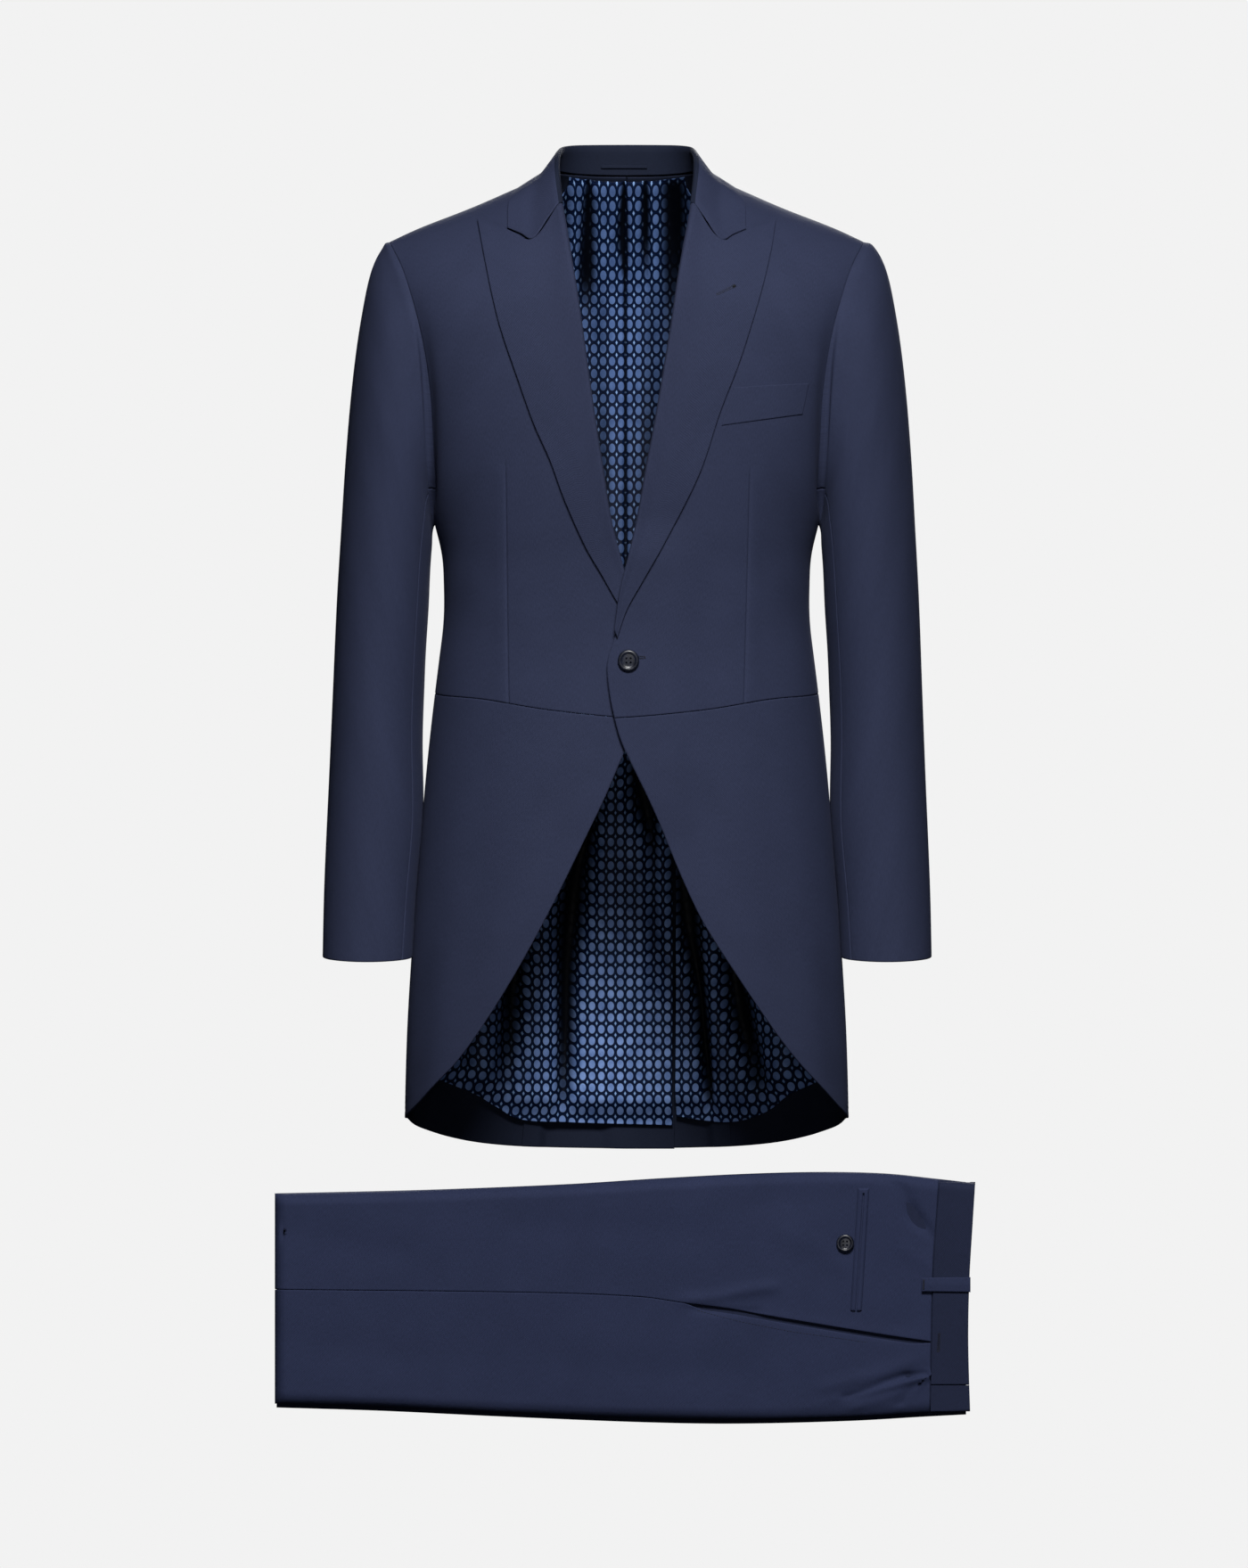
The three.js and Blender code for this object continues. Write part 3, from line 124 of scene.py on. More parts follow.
lapel_rows = {
    "left": table(
        "z roll edge edgeZ",
        (-27, 58.5, 138, -44), (-46, 55.5, 133.2, -74), (-70, 51.2, 125, -108), (-100, 46.2, 114.5, -143),
        (-140, 40.5, 102.6, -179), (-186, 33, 86, -222), (-230, 25.5, 70, -271), (-275, 17, 52, -310),
        (-318, 9.5, 33.5, -344), (-355, 1, 14.5, -378), (-385, -6.4, 0, -405), (-422, -11.5, -8.5, -431),
    ),
    "right": table(
        "z roll edge edgeZ",
        (-27, 58.5, 138, -43), (-50, 54.6, 131, -81), (-80, 50, 124, -114.5), (-112, 44.8, 116, -145),
        (-150, 39.5, 102, -186), (-190, 34, 86, -231), (-232, 28, 71, -265), (-275, 21.2, 57.5, -302),
        (-318, 14.5, 39, -344), (-349, 7, 22.6, -373), (-375, 0, 9, -397), (-402, -7.5, -3, -414),
    ),
}
for lapel_table in lapel_rows.values():
    lapel_table["place"] = np.arange(len(lapel_table["z"]), dtype=float)
gorge_dip = table("share dip", (0, -1.1), (0.35, -29.9), (0.66, -15.3), (1, 0))
front_edge = {
    "left": table(
        "z x",
        (-422, -7.9), (-436, -13), (-454, -18), (-482, -16), (-505, -11.5), (-525, -6), (-540, 0.3),
        (-578, 18.8), (-606, 31.5), (-640, 45.5), (-675, 61), (-700, 74), (-745, 103), (-793, 136),
        (-829, 164), (-857, 189), (-876.5, 206),
    ),
    "right": table(
        "z x",
        (-402, -3.9), (-420, -9), (-440, -13), (-482, -14), (-505, -11), (-525, -4), (-540, 3.5),
        (-578.5, 20), (-618, 39), (-675, 67), (-729, 96), (-777, 125), (-824, 158.5), (-850, 182),
        (-876.5, 206),
    ),
}
back_seam = table(
    "z x",
    (-232, 183.5), (-262, 158), (-300, 124), (-350, 87), (-400, 62), (-450, 49), (-475, 46),
    (-560, 56), (-640, 65), (-920, 88),
)
vent_lap = table("z x", (-486, 0.5), (-512, 27), (-570, 36), (-640, 45), (-920, 45))
sleeve_rings = table(
    "outX outZ inX inZ depth shift",
    (221, -62, 178.5, -326, 68, 0), (228.4, -64.6, 179.6, -329, 69, 0), (237.5, -78, 180.4, -333, 70, 0),
    (244.5, -97, 180.8, -338, 71, 0), (250.5, -126, 181.2, -345, 71, 0), (256, -163, 182, -354, 71, 0),
    (260.5, -207, 183.2, -368, 70, 1), (264.5, -262, 184.6, -390, 69, 2), (268.2, -326, 186.2, -425, 67, 3),
    (272.6, -400, 188.4, -470, 64, 4), (275.8, -480, 189.8, -525, 61, 3), (279, -580, 188.9, -600, 57, -4),
    (282, -665, 195.6, -672, 53, -13), (283.6, -727.5, 199.4, -727.5, 49, -22),
)
sleeve_rings["place"] = np.arange(len(sleeve_rings["outX"]), dtype=float)
SLEEVE_HEAD_RINGS = 6
FRONT_SLEEVE_SEAM = 140
BACK_SLEEVE_SEAM = 228
CUFF_BOW = 4.5

# The left front laps over the right one: how far it is lifted, and where that fades out
OVERLAP_LIFT = 6
OVERLAP_FADE_X = (30, 85)
OVERLAP_START_Z = (-316, -360)
OVERLAP_END_Z = (-545, -640)

# The lapel's roll and the collar's fold, and the point where the neck meets the shoulder's ridge
ROLL_SETBACK = 4.6
FOLD_UNDER = -1.9
ROLL_HEIGHT = 6.4
LAPEL_EDGE_HEIGHT = 3.6
COLLAR_EDGE_HEIGHT = 3.6
COLLAR_FOLD_WIDTH = 5.4
COLLAR_CREST = 1.5
NECK_X, NECK_Z = 70, 3


# The body's surface
def angle_of(x, z, back=False):
    share = np.minimum(1, np.abs(x) / read(torso, "z", "half", z))
    angle = np.degrees(np.arcsin(share ** (SECTION_POWER / 2)))
    return np.where(np.asarray(x) < 0, -1, 1) * np.where(back, 180 - angle, angle)


def body_point(angle, z):
    angle, z = np.broadcast_arrays(np.asarray(angle, float), np.asarray(z, float))
    sine, cosine = np.sin(np.radians(angle)), np.cos(np.radians(angle))
    x = read(torso, "z", "half", z) * np.sign(sine) * np.abs(sine) ** (2 / SECTION_POWER)
    front, back = read(torso, "z", "front", z), read(torso, "z", "back", z)
    depth = np.where(cosine > 0, -front, back)
    ridge = read(shoulder_ridge, "x", "z", np.abs(x))
    turn = read(shoulder_ridge, "x", "turn", np.abs(x))
    drop = np.clip((ridge - z) / turn, 0, 1)
    rounded = np.sqrt(1 - (1 - drop) ** 2)
    y = depth * np.abs(cosine) ** (2 / SECTION_POWER) * rounded
    return np.stack([x, y + np.sign(depth) * RIDGE_HALF_GAP * (1 - rounded), z], -1)


def lifted(angle, z, lift):
    step = 0.5
    point = body_point(angle, z)
    along = body_point(angle + step, z) - body_point(angle - step, z)
    down = body_point(angle, z - step) - body_point(angle, z + step)
    normal = np.cross(along, down)
    normal /= np.maximum(np.linalg.norm(normal, axis=-1, keepdims=True), 1e-9)
    outward = normal[..., 0] * point[..., 0] + normal[..., 1] * point[..., 1]
    normal *= np.where(outward < 0, -1, 1)[..., None]
    return point + normal * np.asarray(lift)[..., None]


def overlap(side, x, z):
    """How far the left front is lifted where it laps over the right one"""
    if side == "right":
        return 0 * x
    across = 1 - smooth(*OVERLAP_FADE_X, x)
    down = smooth(*OVERLAP_START_Z, z) * (1 - smooth(*OVERLAP_END_Z, z))
    return OVERLAP_LIFT * across * down


SIGN = {"left": 1, "right": -1}


def mirrored(side, point):
    return point * np.array([SIGN[side], 1, 1])


# Folding a grid of points into a closed sheet of cloth with rounded edges

# Rows closer than the least step are left out. At an edge each face sinks by a share of the thickness
LEAST_STEP = 0.2
EDGE_ROWS = (0.35, 0.9, 1.8, 3.2)
EDGE_ROUNDING = 0.42


def unit(vectors):
    return vectors / np.maximum(np.linalg.norm(vectors, axis=-1, keepdims=True), 1e-9)


def grid_normals(points):
    return unit(np.cross(np.gradient(points, axis=1), np.gradient(points, axis=0)))


def lengths(points, axis):
    step = np.linalg.norm(np.diff(points, axis=axis), axis=-1)
    start = np.zeros_like(np.take(step, [0], axis=axis))
    return np.concatenate([start, np.cumsum(step, axis=axis)], axis=axis)


def spread(count, extra=(), edges=EDGE_ROWS, length=200.0):
    """Places from 0 to 1, evenly, with finer ones at both ends and round the extra places"""
    fine = np.array(edges) / length
    places = [np.linspace(0, 1, count + 1), fine, 1 - fine]
    for place in extra:
        places.append(np.concatenate([place - fine, [place], place + fine]))
    joined = np.unique(np.round(np.concatenate(places), 6))
    joined = joined[(joined >= 0) & (joined <= 1)]
    keep = [0]
    for value in joined[1:]:
        if value - keep[-1] > LEAST_STEP / length:
            keep.append(value)
    keep[-1] = 1.0
    return np.array(keep)


def placed(name, content):
    """A new object in the scene"""
    made_object = bpy.data.objects.new(name, content)
    bpy.context.scene.collection.objects.link(made_object)
    return made_object


def shade_smooth(mesh):
    mesh.polygons.foreach_set("use_smooth", np.ones(len(mesh.polygons), bool))


def smooth_piece(name, mesh):
    shade_smooth(mesh)
    return placed(name, mesh)


def sheet_mesh(name, points, outside, thickness, uv, relief, edge, shade):
    """A closed mesh: the grid of points is the face, which turns round its edges to the back"""
    normals = grid_normals(points)
    middle = tuple(size // 2 for size in points.shape[:2])
    if np.dot(normals[middle], outside) < 0:
        normals = -normals
    across, down = lengths(points, 1), lengths(points, 0)
    from_side = np.minimum(across, across[:, -1:] - across)
    from_end = np.minimum(down, down[-1:, :] - down)
    share = np.clip(np.minimum(from_side, from_end) / edge, 0, 1)
    sunk = thickness * EDGE_ROUNDING * (1 - np.sqrt(np.clip(1 - (1 - share) ** 2, 0, 1)))
    raised = 0 if relief is None else relief
    front = points + normals * (raised - sunk)[..., None]
    back = points + normals * (raised + sunk - thickness)[..., None]
    rows, columns = points.shape[:2]
    vertices = np.concatenate([front.reshape(-1, 3), back.reshape(-1, 3)]) * METRE
    number = np.arange(rows * columns).reshape(rows, columns)
    a, b = number[:-1, :-1].ravel(), number[:-1, 1:].ravel()
    c, d = number[1:, 1:].ravel(), number[1:, :-1].ravel()
    size = rows * columns
    face = np.stack([a, b, c, d], 1)
    sides = [number[0, :], number[:, -1], number[-1, ::-1], number[::-1, 0]]
    rim = np.concatenate([np.stack([s[1:], s[:-1], s[:-1] + size, s[1:] + size], 1) for s in sides])
    quads = np.concatenate([face, (face + size)[:, ::-1], rim])
    if np.dot(np.cross(points[1, 0] - points[0, 0], points[0, 1] - points[0, 0]), normals[0, 0]) > 0:
        quads = quads[:, ::-1]
    mesh = bpy.data.meshes.new(name)
    mesh.from_pydata(vertices.tolist(), [], quads.tolist())
    mesh.validate()
    layer = mesh.uv_layers.new(name="cloth")
    flat = np.concatenate([uv.reshape(-1, 2), uv.reshape(-1, 2)])
    corners = np.empty(len(mesh.loops), np.int32)
    mesh.loops.foreach_get("vertex_index", corners)
    layer.data.foreach_set("uv", flat[corners].astype(np.float32).ravel())
    # The share of painted shade goes with the mesh as an attribute, which the satin reads
    if shade is not None:
        depth = mesh.attributes.new("painted_shade", "FLOAT", "POINT")
        depth.data.foreach_set("value", np.concatenate([shade.ravel()] * 2).astype(np.float32))
    return smooth_piece(name, mesh)


def cloth_uv(points):
    """Lengths across and down the cloth, in metres"""
    across, down = lengths(points, 1), lengths(points, 0)
    across = across - across[:, -1:] / 2
    return np.stack([across, -down], -1) * METRE


# Rows close under the shoulder's ridge, where the cloth turns over from front to back
RIDGE_ROWS = np.array((0.0012, 0.006, 0.024, 0.095))


def from_ridge(places, length):
    return np.unique(np.concatenate([places, RIDGE_ROWS / length]))


# The panels of the coat
FIRST_TURN = 60.0
PANEL_ROUNDS = 12


def panel_points(side, places_across, places_down, inner, outer, top, bottom, lift, middle=None):
    u, v = np.meshgrid(places_across, places_down)

    def turn(z):
        if middle is None:
            return mix(inner(z), outer(z), u)
        return np.where(u < 0.5, mix(inner(z), middle(z), 2 * u), mix(middle(z), outer(z), 2 * u - 1))

    first = np.full_like(u, FIRST_TURN)
    z = mix(top(first, first), bottom(first), v)
    for _ in range(PANEL_ROUNDS):
        near = turn(z)
        z = mix(top(body_point(near, z)[..., 0], near), bottom(near), v)
    angle = turn(z)
    height = lift(body_point(angle, z)[..., 0], z)
    return mirrored(side, lifted(angle, z, height)), angle, z


def forepart_edge(side, z):
    free, lapel = front_edge[side], lapel_rows[side]
    roll_top_z, roll_top = lapel["z"][0], lapel["roll"][0]
    above = mix(roll_top + ROLL_SETBACK, NECK_X, (z - roll_top_z) / (NECK_Z - roll_top_z))
    on_roll = read(lapel, "z", "roll", z) + ROLL_SETBACK
    x = np.where(z < free["z"][0], read(free, "z", "x", z), on_roll)
    return np.where(z > roll_top_z, above, x)


def armhole_angle(z, back):
    height = np.clip(z, UNDERARM_Z, SHOULDER_TIP_Z)
    return angle_of(read(armhole, "z", "blade" if back else "chest", height) - HALF_GAP, z, back)


SIDE_SEAM_SLANT = 0.045


def side_seam(z):
    return 90 + SIDE_SEAM_SLANT * np.maximum(0, UNDERARM_Z - z)


def back_seam_angle(z):
    on_seam = angle_of(read(back_seam, "z", "x", z), z, True)
    return np.where(z > back_seam["z"][0], np.maximum(armhole_angle(z, True), 90), on_seam)


def waist_z(angle):
    return read(waist_seam, "angle", "z", angle)


def ridge_z(x):
    return read(shoulder_ridge, "x", "z", np.abs(x))


def neck_z(x):
    return NECK_Z * np.minimum(1, np.abs(x) / NECK_X) ** 2


# The darts of the foreparts, from below the chest to the waist seam
darts = {
    "left": table("z x", (45, 118), (-200, 116), (-272, 115), (-486, 109.6), (-520, 108)),
    "right": table("z x", (45, 117), (-200, 114.5), (-265, 113), (-467, 110.5), (-520, 109)),
}
dart_top = {"left": -272, "right": -265}
DART_FADE = 12
DART_DEPTH, DART_WIDTH = 1.0, 0.9
DART_SWELL, DART_SWELL_WIDTH = 0.6, 6

# Where the sleeves pull the armholes in, from their top and down to the underarm
ARMHOLE_PULL_STARTS = (-90, -220)
ARMHOLE_PULL_ENDS = (-322, -296)
BODY_PULL, BODY_PULL_WIDTH = 6.0, 13
SLEEVE_PULL, SLEEVE_PULL_WIDTH = 5.6, 0.018


def ripple(z, middle, reach, wave):
    """Soft creases across the cloth, strongest at one height"""
    return bump(z - middle, reach) * np.sin((z - middle) / wave)


def armhole_pull(z):
    return smooth(*ARMHOLE_PULL_STARTS, z) * smooth(*ARMHOLE_PULL_ENDS, z)


def forepart(side):
    def outer(z):
        at_armhole = np.minimum(90, armhole_angle(z, False))
        return np.where(z > UNDERARM_Z, at_armhole, side_seam(z) - SIDE_SEAM_TURN)

    length, width = 480, 190
    across = spread(76, (0.5,), edges=(0.4, 1.0, 1.8, 3.0), length=width)
    points, _, z = panel_points(
        side, across, from_ridge(spread(110, length=length), length),
        lambda z: angle_of(forepart_edge(side, z), z), outer,
        lambda x, angle: ridge_z(x), lambda angle: waist_z(angle) + HALF_GAP,
        lambda x, z: overlap(side, x, z),
        lambda z: angle_of(read(darts[side], "z", "x", z), z),
    )
    x = np.abs(points[..., 0])
    seam = read(darts[side], "z", "x", z)
    swell = DART_SWELL * bump(x - seam - DART_SWELL_WIDTH, DART_SWELL_WIDTH)
    sewn = smooth(dart_top[side], dart_top[side] - DART_FADE, z)
    relief = (swell - DART_DEPTH * bump(x - seam, DART_WIDTH)) * sewn
    relief += 0.8 * bump(x - 150, 26) * ripple(z, middle=-395, reach=60, wave=19)
    from_armhole = lengths(points, 1)[:, -1:] - lengths(points, 1)
    relief -= BODY_PULL * bump(from_armhole, BODY_PULL_WIDTH) * armhole_pull(z)
    return points, relief


SIDE_WAIST_Z = -480.0


def side_body(side):
    across, down = spread(40, length=110), spread(60, length=240)
    u, v = np.meshgrid(across, down)

    def inner(z):
        return side_seam(z) + SIDE_SEAM_TURN

    def outer(z):
        return back_seam_angle(np.minimum(z, back_seam["z"][0])) - SEAM_TURN

    waist = mix(inner(np.array(SIDE_WAIST_Z)), outer(np.array(WAIST_BACK_Z)), u)
    top_z = mix(UNDERARM_Z, back_seam["z"][0], u) - SEAM_GAP
    z = mix(top_z, waist_z(waist) + HALF_GAP, v)
    drawn = np.maximum(90, armhole_angle(top_z, True)) - mix(inner(top_z), outer(top_z), u)
    angle = mix(inner(z), outer(z), u) + drawn * (1 - v) ** 3 * (1 - u**12)
    points = mirrored(side, body_point(angle, z))
    relief = 0.7 * ripple(z, middle=-425, reach=50, wave=15) * bump(u - 0.4, 0.4)
    return points, relief


VENT_TOP_Z = -486
PLEAT_FULL_Z = -512
PLEAT_UNDER = 13
PLEAT_TUCK = 4.2
VENT_TUCK = 4.6
BACK_LENGTH = 850
# Where rows are finer, as shares of the back's length: the ends of the side seam and of the vent
BACK_FINER_ROWS = (0.275237, 0.575829)


def back_panel(side):
    def inner(z):
        lapped = 360 - angle_of(read(vent_lap, "z", "x", z), z, True)
        straight = angle_of(CENTRE_GAP, z, True)
        if side == "left":
            return straight
        return np.where(z > vent_lap["z"][0], straight, lapped)

    def outer(z):
        under = PLEAT_UNDER * smooth(VENT_TOP_Z, PLEAT_FULL_Z, z)
        seam = angle_of(read(back_seam, "z", "x", z) + under, z, True) + SEAM_TURN
        return np.where(z > back_seam["z"][0], armhole_angle(z, True), seam)

    def top(x, angle):
        return np.where(np.abs(x) < NECK_X, neck_z(x), ridge_z(x))

    def lift(x, z):
        below = smooth(WAIST_BACK_Z, VENT_TOP_Z, z)
        pleat = read(back_seam, "z", "x", np.minimum(z, back_seam["z"][0]))
        tucked = smooth(pleat - 12, pleat - 2, x)
        lapped = smooth(26, 10, x) if side == "right" else 0 * x
        return -below * np.maximum(PLEAT_TUCK * tucked, VENT_TUCK * lapped)

    down = from_ridge(spread(134, BACK_FINER_ROWS, length=BACK_LENGTH), BACK_LENGTH)
    points, _, z = panel_points(
        "left", spread(80, length=190), down, inner, outer, top,
        lambda angle: read(hem, "angle", "z", np.minimum(180, angle)), lift,
    )
    x = points[..., 0]
    points = mirrored(side, points)
    # Soft drag lines between the shoulder blades and hollows of the tail below the waist
    blade = smooth(20, 60, x) * smooth(190, 150, x) * bump(z + 250, 75)
    relief = 0.9 * blade * np.sin((x - 0.25 * z) / 17)
    tail = smooth(-520, -640, z) * smooth(-0.5, 30, x)
    relief += 1.1 * tail * np.sin(x / 13 + z / 210)
    return points, relief * smooth(SHOULDER_TIP_Z, -110, z)


def skirt(side):
    def outer(z):
        return angle_of(read(back_seam, "z", "x", z) + SEAM_GAP, z, True)

    points, angle, z = panel_points(
        side, spread(110, length=330), spread(80, length=400),
        lambda z: angle_of(forepart_edge(side, z), z), outer,
        lambda x, angle: waist_z(angle) - HALF_GAP,
        lambda angle: read(hem, "angle", "z", np.maximum(90, angle)),
        lambda x, z: overlap(side, x, z),
    )
    # The skirt hangs in soft waves, which grow from the waist seam down and from the front edge back
    fall = smooth(-490, -760, z) * smooth(20, 60, angle)
    return points, fall * (1.5 * np.sin(angle / 9.5 + 0.4) + 0.8 * np.sin(angle / 4.3 + z / 170))


# The sleeves
def sleeve_ellipse(ring, turn):
    def value(column):
        return read(sleeve_rings, "place", column, ring)

    reach = np.cos(np.radians(turn)) / 2
    x = (value("outX") + value("inX")) / 2 + (value("outX") - value("inX")) * reach
    z = (value("outZ") + value("inZ")) / 2 + (value("outZ") - value("inZ")) * reach
    y = value("shift") - value("depth") * np.sin(np.radians(turn))
    return np.stack([x, y, z], -1)


ARMHOLE_CLEAR = 0.5


def armhole_point(turn):
    front = np.sin(np.radians(turn)) > 0
    middle, reach = (SHOULDER_TIP_Z + UNDERARM_Z) / 2, (SHOULDER_TIP_Z - UNDERARM_Z) / 2
    z = middle + np.cos(np.radians(turn)) * reach
    x = np.where(front, read(armhole, "z", "chest", z), read(armhole, "z", "blade", z))
    point = body_point(np.where(front, angle_of(x, z), angle_of(x, z, True)), z)
    point[..., 0] = x + ARMHOLE_CLEAR
    return point


# The seam allowance of the sleeve's head: how far it lies over the body, and how far under its face
turned_in = table(
    "share over under",
    (0, 0, 0.3), (0.12, 0.5, 1.6), (0.3, 1.0, 2.2), (0.65, 2.8, 2.3), (1, 6, 2.2),
)
BEYOND_ARMHOLE = 30
SLEEVE_LENGTH = 660
SLEEVE_SEAM_TURN = 0.2
# The right sleeve hangs closer to the body than the left one, by this much at its top and at its cuff
RIGHT_SLEEVE_IN = (4.2, 0.8)


def under_armhole(turn):
    """Two ways from the armhole's edge: through the cloth of the body, and away from the edge under it"""
    point = armhole_point(turn)
    angle = angle_of(point[..., 0], point[..., 2], point[..., 1] > 0)
    through = unit(lifted(angle, point[..., 2], -1.0) - lifted(angle, point[..., 2], 0.0))
    along_edge = armhole_point(turn + 1) - armhole_point(turn - 1)
    away = unit(np.cross(through, along_edge))
    middle = np.array([point[..., 0].max() + BEYOND_ARMHOLE, 0, (SHOULDER_TIP_Z + UNDERARM_Z) / 2])
    points_out = (away * (point - middle)).sum(-1) >= 0
    return through, away * np.where(points_out, 1, -1)[..., None]


def sleeve(side, start, end, count):
    """A sleeve panel from cuff to head, where its seam allowance turns in under the armhole's edge"""
    across = spread(count, length=3.2 * count)
    down = spread(114, edges=(), length=SLEEVE_LENGTH)
    down = np.unique(np.concatenate([down, 1 - np.array(EDGE_ROWS) / SLEEVE_LENGTH]))
    allowance = -turned_in["share"][:0:-1]
    u, v = np.meshgrid(across, np.concatenate([allowance, down]))
    share = np.maximum(0, -v)
    v = np.maximum(0, v)
    turn = mix(start + SLEEVE_SEAM_TURN, end - SLEEVE_SEAM_TURN, u)
    ring = v * (len(sleeve_rings["place"]) - 1)
    point = sleeve_ellipse(ring, turn)
    fade = np.maximum(0, 1 - ring / SLEEVE_HEAD_RINGS) ** 2
    point += (armhole_point(turn) - sleeve_ellipse(0 * ring, turn)) * fade[..., None]
    point[..., 2] -= CUFF_BOW * np.abs(np.sin(np.radians(turn))) * smooth(0.86, 1, v)
    if side == "right":
        outer = (1 + np.cos(np.radians(turn))) / 2 * smooth(0, 0.12, v)
        point[..., 0] -= outer * mix(*RIGHT_SLEEVE_IN, smooth(-60, -690, point[..., 2]))
    # At the top of the shoulder the allowance stays close under the face
    through, away = under_armhole(turn)
    under = read(turned_in, "share", "under", share) * (1 - 0.85 * bump(turn, 16)) * (v == 0)
    over = read(turned_in, "share", "over", share) * (v == 0)
    point += through * under[..., None] + away * over[..., None]
    # Drag lines at the inner side of the elbow and behind the sleeve's head, and an even soft unrest
    z = point[..., 2]
    elbow = bump(z + 400, 60) * bump((turn % 360) - 235, 55)
    relief = 1.1 * elbow * np.sin((z + 0.35 * (turn - 200)) / 17)
    head = bump(z + 150, 70) * smooth(0.06, 0.2, v) * bump((turn % 360) - 190, 70)
    relief += 0.8 * head * np.sin(turn / 8.5)
    relief += 0.5 * smooth(0.1, 0.3, v) * np.sin(z / 60 + turn / 21)
    relief -= SLEEVE_PULL * bump(v, SLEEVE_PULL_WIDTH) * armhole_pull(z)
    return mirrored(side, point), relief


# The lapels: under side, roll, and then out to the edge
roll_section = table(
    "column reach height",
    (0, 3.1, 0), (1, 1.0, 0.12), (2, 0, 0.5), (3, 1.0, 0.88), (4, 3.6, 1),
)
# Near the button each lapel is flatter: the height of its roll and of its edge there, and its thickness
lapel_ends = {"left": (4.6, LAPEL_EDGE_HEIGHT, LAPEL_CLOTH), "right": (3.3, 3.2, 1.3)}
FULL_ROLL_WIDTH = 16
LAPEL_ENDING = (0.68, 0.86)
ROLL_COLUMNS, LAPEL_COLUMNS = 4, 10
GORGE_SHARE = 0.2


def lapel(side):
    rows = lapel_rows[side]
    roll_share = ROLL_COLUMNS / LAPEL_COLUMNS
    rolled = np.linspace(0, roll_share, 21)
    flat = roll_share + (1 - roll_share) * spread(44, length=80)[1:]
    u, v = np.meshgrid(np.concatenate([rolled, flat]), spread(100, length=430))
    place = v * (len(rows["z"]) - 1)
    roll = {axis: read(rows, "place", name, place) for axis, name in (("x", "roll"), ("z", "z"))}
    edge = {axis: read(rows, "place", name, place) for axis, name in (("x", "edge"), ("z", "edgeZ"))}
    length = np.hypot(edge["x"] - roll["x"], edge["z"] - roll["z"])
    narrow = np.minimum(1, length / FULL_ROLL_WIDTH)
    ending = smooth(*LAPEL_ENDING, v)
    end_top, end_edge, _ = lapel_ends[side]
    top = mix(ROLL_HEIGHT, end_top, ending)
    outer = mix(LAPEL_EDGE_HEIGHT, end_edge, ending)
    column = u * LAPEL_COLUMNS
    reach = read(roll_section, "column", "reach", column) * narrow / length
    height = mix(FOLD_UNDER, top, read(roll_section, "column", "height", column))
    share = np.clip((column - ROLL_COLUMNS) / (LAPEL_COLUMNS - ROLL_COLUMNS), 0, 1)
    beyond = column > ROLL_COLUMNS
    reach = np.where(beyond, mix(reach, 1, share), reach)
    fall = mix(share, smooth(0, 1, share), 0.4)
    height = np.where(beyond, mix(top, outer, fall), height)
    dip = read(gorge_dip, "share", "dip", reach) * np.maximum(0, 1 - v / GORGE_SHARE) ** 1.5
    x = mix(roll["x"], edge["x"], reach)
    z = mix(roll["z"], edge["z"], reach) + dip
    point = lifted(angle_of(x, z), z, height + overlap(side, x, z))
    return mirrored(side, point), None


# The collar: a stand round the neck, folded over into the leaf on the shoulders
collar_rows = table(
    "neckX neckY neckZ foldX foldY foldZ leafX leafZ",
    (0, 59.6, 0.7, 0, 57, 29.5, 0, -14), (29, 54.6, 1.2, 28, 52.5, 29.3, 33, -13),
    (48, 44, 2.2, 47, 41, 28.7, 60, -11), (60.5, 25, 3.7, 57, 22, 27, 82, -7),
    (66.6, 0, 4.2, 59.6, 0, 24, 97, -9.6), (64.6, -21, 1.6, 61.6, -21, 17.5, 105, -17),
    (62, -41, -8, 61.8, -44, 3, 109.5, -29),
)
ROLL_X, ROLL_Z = 58.5, -26.6
KNEE_X, KNEE_Z = 86.2, -61.4
LEAF_X, LEAF_Z = 110, -51
# On the shoulder's ridge the leaf lies lower than elsewhere, and before it the leaf is hollow
LEAF_LIFT_AT_RIDGE = 0.7
RIDGE_SINK, RIDGE_SINK_WIDTH = 2.9, 34
KNEE_SHARE = 0.57
KNEE_HEIGHT = 4.9
KNEE_OUT, KNEE_HOLLOW = 1.2, -6.0
KNEE_FADE_Y = (40, 5)
GORGE_TUCK = np.array([0.3, 1.1, -1.1])


# The last section lies on the lapel's roll, at the gorge: how far from the roll's end each point is,
# and how high
gorge_section = {
    "neck": (2.4, -2.6, FOLD_UNDER),
    "fold": (0.8, -1, FOLD_UNDER + 0.6),
    "turned": (1, -1.3, ROLL_HEIGHT - 0.4),
    "crest": (0, 0, 2.2),
}


